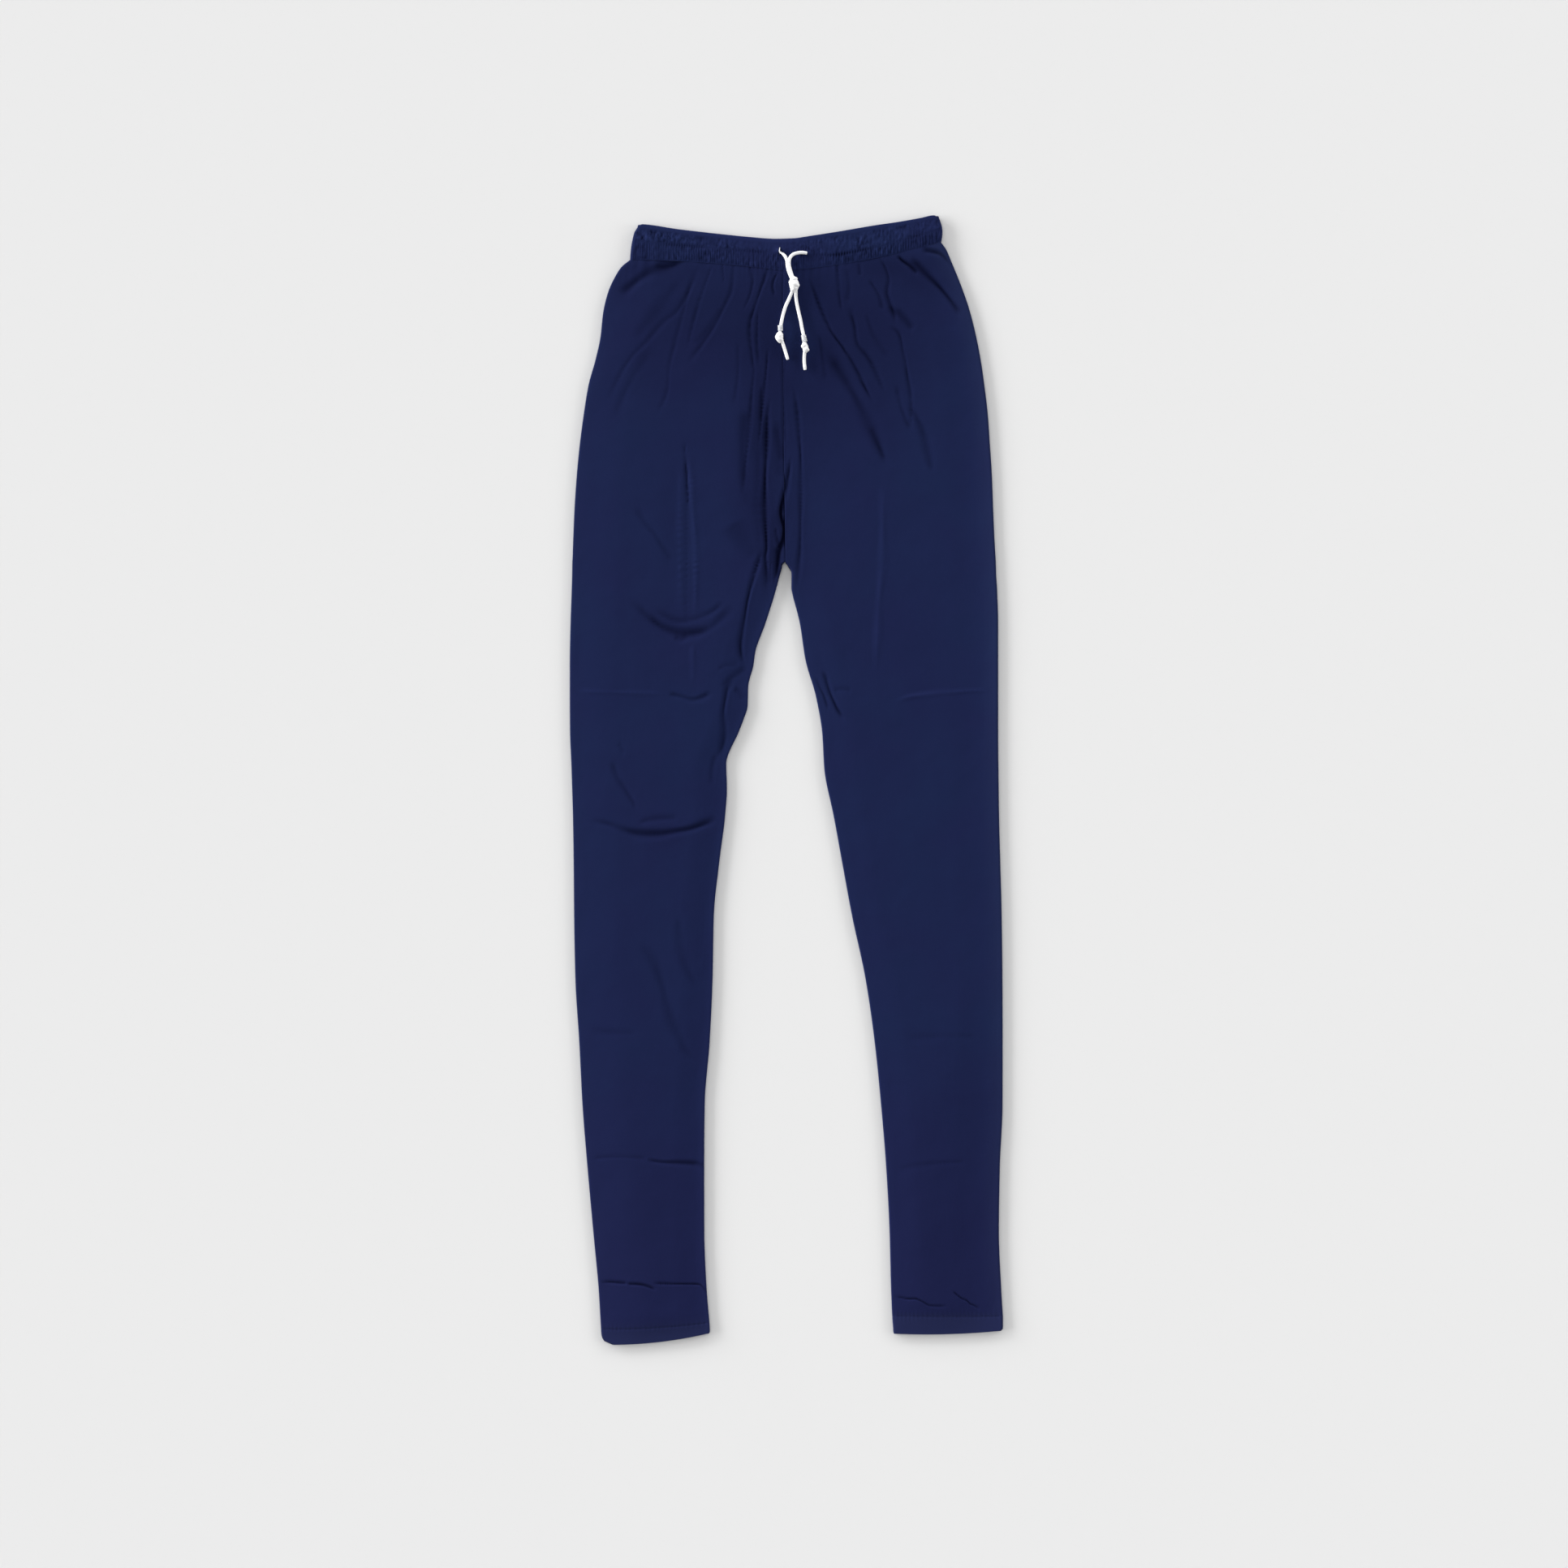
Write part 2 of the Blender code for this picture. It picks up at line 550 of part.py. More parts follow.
def bead_sleeve(name, bead):
    """A short sleeve bead with eased rims, lying along its cord."""
    def build(bm):
        bmesh.ops.create_cone(bm, cap_ends=True, segments=BEAD_SIDES, radius1=bead.radius * MM,
                              radius2=bead.radius * MM, depth=bead.length * MM)
        end = bead.length * MM / 2.0 - WELD * MM
        rims = [e for e in bm.edges if all(abs(v.co.z) > end for v in e.verts) and len(e.link_faces) == 2
                and e.verts[0].co.z * e.verts[1].co.z > 0]
        bmesh.ops.bevel(bm, geom=rims, offset=BEAD_EDGE * MM, segments=1, affect="EDGES")
        for v in bm.verts:
            along = v.co.z
            across = v.co.x
            up = v.co.y
            v.co.x = bead.x * MM + across * math.cos(bead.lean) - along * math.sin(bead.lean)
            v.co.y = bead.y * MM + across * math.sin(bead.lean) + along * math.cos(bead.lean)
            v.co.z = bead.z * MM + up
    return solid_from(name, build)


def cut(part, cutter):
    """Take the cutter's shape out of a part."""
    step = part.modifiers.new("cut_" + cutter.name, "BOOLEAN")
    step.operation = "DIFFERENCE"
    step.solver = "EXACT"
    step.object = cutter


def make_material(name):
    """A plain material of the named kind."""
    colour, roughness, metallic = MATERIALS[name]
    material = bpy.data.materials.new(name)
    material.use_nodes = True
    shader = material.node_tree.nodes["Principled BSDF"]
    shader.inputs["Base Color"].default_value = colour
    shader.inputs["Roughness"].default_value = roughness
    shader.inputs["Metallic"].default_value = metallic
    material.diffuse_color = colour
    return material


def make_garment():
    """Build every piece and put it in its collection."""
    for old in list(bpy.data.objects):
        bpy.data.objects.remove(old)
    parts = bpy.data.collections.new(GARMENT)
    cutters = bpy.data.collections.new(GARMENT + "_cutters")
    bpy.context.scene.collection.children.link(parts)
    bpy.context.scene.collection.children.link(cutters)
    materials = {name: make_material(name) for name in MATERIALS}

    def add(piece, material):
        piece.data.materials.append(materials[material])
        parts.objects.link(piece)
        return piece

    def add_cutter(name, route):
        cutter = closed_mesh(cord_tube(name, route, CORD_RADIUS + CORD_CLEARANCE))
        cutter.display_type = "WIRE"
        cutter.hide_render = True
        cutters.objects.link(cutter)
        return cutter

    add(leg_panel("leg_panel_right", -1, RIGHT_LEG), "navy_jersey")
    add(leg_panel("leg_panel_left", 1, LEFT_LEG), "navy_jersey")
    casing = add(waist_casing("waist_casing"), "navy_jersey")

    right_route = smooth_route(RIGHT_ROUTE, ROUTE_STEPS)
    left_route = smooth_route(LEFT_ROUTE, ROUTE_STEPS)
    add(cord_tube("drawcord_right", right_route, CORD_RADIUS), "white_cord")
    add(cord_tube("drawcord_left", left_route, CORD_RADIUS), "white_cord")
    front_knot = add(knot_lump("front_knot", FRONT_KNOT), "white_cord")
    right_stopper = add(knot_lump("stopper_knot_right", RIGHT_STOPPER), "white_cord")
    left_stopper = add(knot_lump("stopper_knot_left", LEFT_STOPPER), "white_cord")
    right_bead = add(bead_sleeve("bead_right", RIGHT_BEAD), "clear_bead")
    left_bead = add(bead_sleeve("bead_left", LEFT_BEAD), "clear_bead")

    right_way = add_cutter("right_cord_way", right_route)
    left_way = add_cutter("left_cord_way", left_route)
    eyelet_points = ROUTE_POINTS_IN_CASING * ROUTE_STEPS
    right_eyelet = add_cutter("right_eyelet", right_route[:eyelet_points])
    left_eyelet = add_cutter("left_eyelet", left_route[:eyelet_points])
    for part, cutter in (
        (casing, right_eyelet),
        (casing, left_eyelet),
        (front_knot, right_way),
        (front_knot, left_way),
        (right_stopper, right_way),
        (left_stopper, left_way),
        (right_bead, right_way),
        (left_bead, left_way),
    ):
        cut(part, cutter)


make_garment()
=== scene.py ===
import math
from collections import namedtuple

import bmesh
import bpy
import numpy as np
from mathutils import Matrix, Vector, noise


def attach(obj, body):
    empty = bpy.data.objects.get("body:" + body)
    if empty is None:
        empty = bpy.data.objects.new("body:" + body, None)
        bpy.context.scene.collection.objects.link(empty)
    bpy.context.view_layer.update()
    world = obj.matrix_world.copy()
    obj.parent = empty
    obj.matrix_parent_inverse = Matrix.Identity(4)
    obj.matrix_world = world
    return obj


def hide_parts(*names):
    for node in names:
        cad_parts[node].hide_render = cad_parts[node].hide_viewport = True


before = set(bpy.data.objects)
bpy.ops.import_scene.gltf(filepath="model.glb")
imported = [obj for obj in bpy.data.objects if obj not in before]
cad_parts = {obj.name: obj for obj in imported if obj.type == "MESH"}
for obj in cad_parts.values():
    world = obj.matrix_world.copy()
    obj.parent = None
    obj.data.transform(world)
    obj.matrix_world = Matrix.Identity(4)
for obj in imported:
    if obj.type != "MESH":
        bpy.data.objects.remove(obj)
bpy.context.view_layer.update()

MM = 0.001
FULL_TURN = 2.0 * math.pi

# Camera straight above the laid garment
LENS = 85.0
SENSOR = 36.0
VIEW_WIDTH = 1.4973
VIEW_CENTRE = (-0.0023, -0.0035)
CLOTH_HEIGHT = 0.003

# Light on the floor: the share of each light, its height and its bearing
FLOOR_BRIGHTNESS = 0.8388
FLOOR_ALBEDO = 0.8
FLOOR_SIZE = 60.0
FLOOR_GAP = 0.0003
SKY_SHARE = 0.36
Sun = namedtuple("Sun", "name share height bearing spread")
SUNS = (
    Sun("window_light_low", 0.10, 10.5, 144.0, 18.0),
    Sun("window_light_mid", 0.10, 12.0, 164.0, 18.0),
    Sun("window_light_high", 0.10, 16.0, 184.0, 18.0),
    Sun("room_light_low", 0.06, 16.0, -4.0, 20.0),
    Sun("room_light_high", 0.06, 16.0, 34.0, 20.0),
    Sun("far_light_left", 0.05, 15.0, 115.0, 20.0),
    Sun("far_light_right", 0.05, 15.0, 75.0, 20.0),
    Sun("ceiling_light", 0.12, 78.0, 140.0, 55.0),
)

# Cloth
JERSEY = 1.2
TURNED_HEM = 1.6
HEM_DEPTH = 15.0
SEAM_GAP = 0.3
MEETING_GAP = 0.03
SEAM_GROOVE = 0.35
EDGE_TOP = 3.6
BAND_MEET_TOP = 5.0
LEG_RISE = 1.8
OUTER_RISE_RUN = 45.0
INNER_RISE_RUN = 30.0
BAND_RISE_RUN = 25.0
HEM_RISE_RUN = 30.0
FOLD_FADE_RUN = 9.0
NOTCH = 13
NOTCH_CLOSING = 34.0
LOWEST_TOP = 2.5

# Drawcord, knots and beads
CORD_LOOK_RADIUS = 1.57
CORD_SIDES = 20
ROUTE_STEPS = 5
CORD_SWELL = 0.035
CORD_SWELL_RATE = 0.22
START_THIN = 0.9
END_THIN = 0.95
END_BLUNT = 0.72
TURN_STEPS = 26
TURN_SWEEP = 335.0
TURN_SIDES = 16
CORE_STEPS = 4
BEAD_SIDES = 24
BEAD_BORE = 1.85
BEAD_RIM = 0.5

# Stitches of the hems
THREAD = 0.4
STITCH_LENGTH = 2.3
STITCH_PITCH = 3.1
STITCH_SINK = 0.08

# Colours of the jersey
NAVY_DEEP = (0.0100, 0.0143, 0.0600, 1.0)
NAVY_PALE = (0.0096, 0.0166, 0.0630, 1.0)
# Purple hue of the painted shade and of the lower legs
NAVY_WARM = (0.0110, 0.0143, 0.0612, 1.0)
# How the painted shade and tone scale red, green and blue
TONE_ON_COLOUR = (1.03, 1.0, 0.88)
# Lift to a paler, greyer colour at the hems and along an outer edge
PALE_GREY_LIFT = (0.0032, 0.0042, 0.0024)

# Mesh of a leg
WRAP_STEPS = 4
FRONT_COLUMNS = 140
INNER_CROWDING = 0.16
OUTER_FOLD_STEPS = 8
BACK_COLUMNS = 18
INNER_STEP = 8
WAIST_PITCH = 1.8
LEG_PITCH = 2.6
PITCH_CHANGE = (230.0, 60.0)
FINE_PITCH = 0.9
FINE_ROWS = ((488.0, 9.0), (205.0, 5.0), (82.0, 7.0), (-44.0, 8.0), (-364.0, 6.0), (-483.0, 8.0),
             (-500.0, 9.0), (-520.0, 8.0))
DENSE_STATIONS = 4001

# Soft unevenness of the cloth: height, size and seed
Ripple = namedtuple("Ripple", "height size seed")
FRONT_RIPPLES = (Ripple(0.42, 46.0, 1.0), Ripple(0.16, 17.0, 4.0), Ripple(0.05, 6.0, 7.0))
BACK_RIPPLE = Ripple(0.12, 30.0, 12.0)

# Where the leg leaves the casing, and its small gathers
WAIST_DIP = 0.25
WAIST_DIP_RUN = 2.2
WAIST_DARK = 0.06
WAIST_DARK_RUN = 2.5
# Painted shade in the gathers' hollows and painted light on their crests
GATHER_PAINTED_SHADE = 0.3

# Turned and stitched hem; the right leg's, at -1, is paler and greyer higher up
HEM_STEP_RUN = 1.2
HEM_FOLD_SHARE = 0.35
HEM_LIFT = 0.22
HEM_LIFT_RUN = 1.5
HEM_PALE = 0.11
HEM_TONE_RUN = {-1: 12.0, 1: 2.0}
HEM_PALE_GREY_TOP = {-1: 27.0, 1: 20.0}
HEM_PALE_GREY_RUN = {-1: 21.0, 1: 9.0}
STITCH_GROOVE = 0.28
STITCH_GROOVE_RUN = 0.9
STITCH_DARK = 0.10
HEM_PUCKER = 0.10
HEM_PUCKER_PITCH = 4.3
HEM_PUCKER_SWING = 2.0
HEM_PUCKER_SWING_RUN = 9.0
HEM_PUCKER_RUN = 4.0

# Tone near the edges of a leg, with painted light along the rounded edges: how much and how far in
OUTER_EDGE_PAINTED_LIGHT = ((0.05, 7.0), (0.06, 40.0))
INNER_EDGE_PAINTED_LIGHT = 0.10
INNER_EDGE_PAINTED_LIGHT_RUN = 9.0
SEAM_DARK = 0.06
SEAM_DARK_RUN = 1.5
TONE_EDGE_RUN = 2.5
TONE_LEAST = -0.85
TONE_MOST = 0.8
FOLD_TONE = -0.05
# Paler, greyer cloth along a leg's outer edge: how much for each leg and how far in
EDGE_PALE_GREY = {-1: 0.1, 1: 0.6}
EDGE_PALE_GREY_RUN = 18.0
# Purple hue where the broad painted shade is dark, and on the lower legs
WARM_BY_PAINTED_SHADE = 1.5
WARM_MOST = 0.6
WARM_BELOW = -180.0
WARM_RUN = 320.0

# Casing
CASING = 2.4
CASING_TOP = 5.2
CASING_COLUMNS = 620
CASING_BACK_COLUMNS = 120
CASING_ROWS = 34
CASING_ROLL_STEPS = 4
CASING_MEET = 0.03
SEAM_STEP = 0.1
SEAM_STEP_SHARE = 0.15
ROLL_INSET = 1.1
ROLL_DROP = 1.05
INNER_DROP_SHARE = 0.2
ROLL_TONE = 0.14
BACK_TONE_SHARE = 0.6
BACK_PATTERN_SHIFT = 400.0
BACK_LIFT_BASE = 0.4
BACK_LIFT_SHARE = 0.6
BACK_LIFT_MOST = 0.7
RIGHT_SWELL = 2.3
RIGHT_SWELL_SHARE = 0.06
LEFT_CUT_IN = 2.3
LEFT_SWELL = 0.9
LEFT_SHARE = 0.04

# Puckers of the casing: how far a pattern is drawn out, its size and its seed
Pattern = namedtuple("Pattern", "by_x by_y size seed")
MOTTLE = Pattern(1.0, 0.5, 2.5, 21.0)
PATCHES = Pattern(1.0, 0.7, 6.5, 33.0)
GRAIN = Pattern(1.3, 0.8, 1.4, 45.0)
STRENGTH = Pattern(1.0, 1.0, 16.0, 57.0)
LINE_SHOWN = Pattern(1.0, 1.0, 21.0, 71.0)
# Height of the low part, and the painted shade and light that follow it, from its ribs, mottle and patches
LOW_LIFT = (0.12, 0.36, 0.20)
LOW_PAINTED_SHADE = (0.09, 0.40, 0.14)
# Height of the high part, and the painted shade and light that follow it, from its mottle, patches and
# grain
HIGH_LIFT = (0.46, 0.34, 0.12)
HIGH_PAINTED_SHADE = (0.50, 0.34, 0.34)
LOW_DARK = 0.07
RIB_PITCH = 2.3
RIB_SWING = 2.0
RIB_SWING_RUN = 11.0
DASH_PITCH = 2.5
DASH_SWING = 2.2
DASH_SWING_RUN = 14.0
LINE_WIDTH = 0.065
# Painted shade in the stitch row's puckered grooves
STITCH_ROW_PAINTED_SHADE = 0.55
CROWN = 0.35
CALM_CENTRE = -20.0
CALM_REACH = 36.0
CALM_SHARE = 0.7
CALM_TONE = 0.07
BAND_TONE = 0.04
TOP_TONE = 0.2
SIDE_DARK = 0.05
SIDE_DARKER = 0.11
# Painted light on the casing right of the cord, against the cord's cast shadow
CORD_SHADOW_PAINTED_LIGHT = 0.2
CORD_SHADOW_LIGHT_CENTRE = 28.0
CORD_SHADOW_LIGHT_REACH = 18.0
# The row of stitches along the casing: place and share of the band's height
STITCH_ROW = ((-148, 0.5), (-60, 0.52), (-8, 0.57), (5, 0.7), (19, 0.68), (28, 0.42), (50, 0.31),
              (80, 0.33), (147, 0.48))
EYELETS = ((-6.9, 504.2), (20.4, 503.0))
EYELETS_MIDDLE = 6.0
EYELET_COVER = 1.7
SLIT_DEPTH = 0.9
# Painted shade in the eyelets' slits
SLIT_PAINTED_SHADE = 0.5

# How a crease meets the cloth round it, and the painted shade and light that it gives
CREASE_STEPS = 12
CREASE_TAPER = 0.16
CREASE_REACH = 4.0
CREASE_UNEVEN = 0.14
CREASE_HEIGHT = 0.8
WIDTH_UNEVEN = 0.25
# Painted shade in a crease's trough and painted light on its lips, for each unit of depth; a ridge's
# negative depth paints it lighter
CREASE_PAINTED_SHADE = 0.26
LIP_SHARE = 0.07
LIP_PAINTED_LIGHT = 0.02
LIP_PLACE = 1.9
LEAN_SPREAD = 1.8

# Sections of a leg from the casing to the hem: its inner end, its outer end,
# how far the line between them bows, and whether its inner edge turns under
Station = namedtuple("Station", "y_in x_in y_out x_out bow turned")
RIGHT_LEG = tuple(Station(*row) for row in (
    (486.4, -3.0, 496.9, -149.6, 2.2, 0),
    (478.0, -3.1, 490.5, -157.4, 2.0, 0),
    (464.0, -3.3, 480.0, -164.3, 1.2, 0),
    (446.0, -3.4, 466.0, -170.5, 0.6, 0),
    (424.0, -3.4, 446.0, -175.2, 0, 0),
    (400.0, -3.3, 424.0, -177.6, 0, 0),
    (375.0, -3.2, 402.0, -182.4, 0, 0),
    (350.0, -3.0, 378.0, -189.0, 0, 0),
    (325.0, -2.7, 350.0, -193.6, 0, 0),
    (300.0, -2.3, 320.0, -197.5, 0, 0),
    (275.0, -1.9, 290.0, -200.4, 0, 0),
    (250.0, -1.5, 258.0, -202.5, 0, 0),
    (228.0, -1.2, 232.0, -203.6, 0, 0),
    (207.8, -1.0, 210.0, -204.4, 0, 0),
    (207.4, -2.7, 209.4, -204.5, 0, 0.55),
    (206.6, -3.8, 208.4, -204.5, 0, 1),
    (203.4, -4.2, 204.6, -204.6, 0, 1),
    (197.0, -6.0, 197.4, -204.7, 0, 1),
    (180.0, -10.5, 180.0, -205.2, 0, 1),
    (150.0, -20.0, 150.0, -206.2, 0, 1),
    (123.0, -29.6, 123.0, -206.8, 0, 1),
    (109.0, -31.6, 109.0, -206.9, 0, 1),
    (90.0, -36.4, 90.0, -206.9, 0, 1),
    (71.0, -37.0, 71.0, -206.9, 0, 1),
    (59.0, -40.6, 59.0, -206.8, 0, 1),
    (45.0, -46.0, 45.0, -206.7, 0, 1),
    (16.0, -57.4, 16.0, -205.5, 0, 1),
    (-8.0, -56.8, -8.0, -204.7, 0, 1),
    (-35.0, -58.6, -35.0, -203.9, 0, 1),
    (-80.0, -64.3, -80.0, -203.2, 0, 1),
    (-130.0, -69.3, -130.0, -202.8, 0, 1),
    (-190.0, -70.5, -190.0, -201.6, 0, 1),
    (-250.0, -73.3, -250.0, -197.9, 0, 1),
    (-310.0, -78.0, -310.0, -194.8, 0, 1),
    (-370.0, -78.5, -370.0, -190.0, 0, 1),
    (-430.0, -78.4, -430.0, -184.6, 0, 1),
    (-485.0, -76.2, -487.0, -179.3, -0.5, 1),
    (-514.0, -73.8, -519.0, -177.4, -1.6, 1),
    (-522.0, -73.2, -529.8, -176.7, -2.0, 1),
    (-525.8, -73.1, -534.6, -174.9, -2.1, 1),
    (-527.4, -73.4, -537.4, -171.6, -2.3, 1),
    (-528.0, -74.0, -539.0, -166.4, -2.7, 1),
))
LEFT_LEG = tuple(Station(*row) for row in (
    (486.4, -3.0, 514.4, 147.7, -4.5, 0),
    (478.0, -3.1, 508.0, 152.4, -4.0, 0),
    (464.0, -3.3, 494.0, 158.4, -3.0, 0),
    (446.0, -3.4, 474.0, 166.5, -1.5, 0),
    (424.0, -3.4, 450.0, 174.8, -0.5, 0),
    (400.0, -3.3, 426.0, 180.9, 0, 0),
    (375.0, -3.2, 402.0, 185.6, 0, 0),
    (350.0, -3.0, 378.0, 189.1, 0, 0),
    (325.0, -2.7, 350.0, 192.4, 0, 0),
    (300.0, -2.3, 320.0, 194.5, 0, 0),
    (275.0, -1.9, 290.0, 196.4, 0, 0),
    (250.0, -1.5, 258.0, 197.6, 0, 0),
    (228.0, -1.2, 232.0, 198.7, 0, 0),
    (207.8, -1.0, 210.0, 200.0, 0, 0),
    (207.4, -1.0, 209.4, 200.0, 0, 0.55),
    (206.6, -0.4, 208.4, 200.1, 0, 1),
    (205.4, 1.0, 207.0, 200.1, 0, 1),
    (203.6, 2.6, 204.8, 200.2, 0, 1),
    (201.0, 4.0, 201.7, 200.3, 0, 1),
    (197.0, 4.8, 197.3, 200.4, 0, 1),
    (184.0, 4.7, 184.0, 201.2, 0, 1),
    (177.0, 5.9, 177.0, 201.5, 0, 1),
    (150.0, 12.8, 150.0, 202.3, 0, 1),
    (115.0, 18.2, 115.0, 202.3, 0, 1),
    (80.0, 28.2, 80.0, 202.3, 0, 1),
    (45.0, 34.2, 45.0, 202.3, 0, 1),
    (10.0, 36.3, 10.0, 202.6, 0, 1),
    (-35.0, 45.3, -35.0, 203.2, 0, 1),
    (-80.0, 53.5, -80.0, 204.4, 0, 1),
    (-130.0, 62.8, -130.0, 205.7, 0, 1),
    (-190.0, 75.6, -190.0, 206.4, 0, 1),
    (-250.0, 84.3, -250.0, 206.6, 0, 1),
    (-310.0, 90.4, -310.0, 206.5, 0, 1),
    (-370.0, 95.3, -370.0, 203.9, 0, 1),
    (-430.0, 98.5, -430.0, 203.0, 0, 1),
    (-485.0, 99.9, -485.0, 205.2, 0, 1),
    (-514.0, 101.2, -514.0, 206.9, -0.6, 1),
    (-522.0, 101.8, -520.0, 206.9, -1.2, 1),
    (-526.4, 102.1, -523.8, 206.7, -1.6, 1),
    (-528.4, 102.6, -525.6, 205.0, -1.8, 1),
))

# Top edge of the casing over places along its seam
CasingTop = namedtuple("CasingTop", "x_seam x_top y_top")
CASING_EDGE = tuple(CasingTop(*row) for row in (
    (-149.3, -143.6, 529.3),
    (-144.0, -139.6, 530.9),
    (-104.6, -102.0, 526.0),
    (-60.0, -59.0, 521.1),
    (-36.0, -36.0, 518.8),
    (-10.0, -10.0, 517.0),
    (8.0, 8.0, 517.6),
    (20.0, 19.0, 519.2),
    (51.0, 51.0, 524.2),
    (84.0, 84.0, 529.8),
    (106.0, 106.0, 533.0),
    (130.0, 128.0, 536.9),
    (143.0, 140.8, 539.4),
    (147.8, 145.6, 537.0),
))
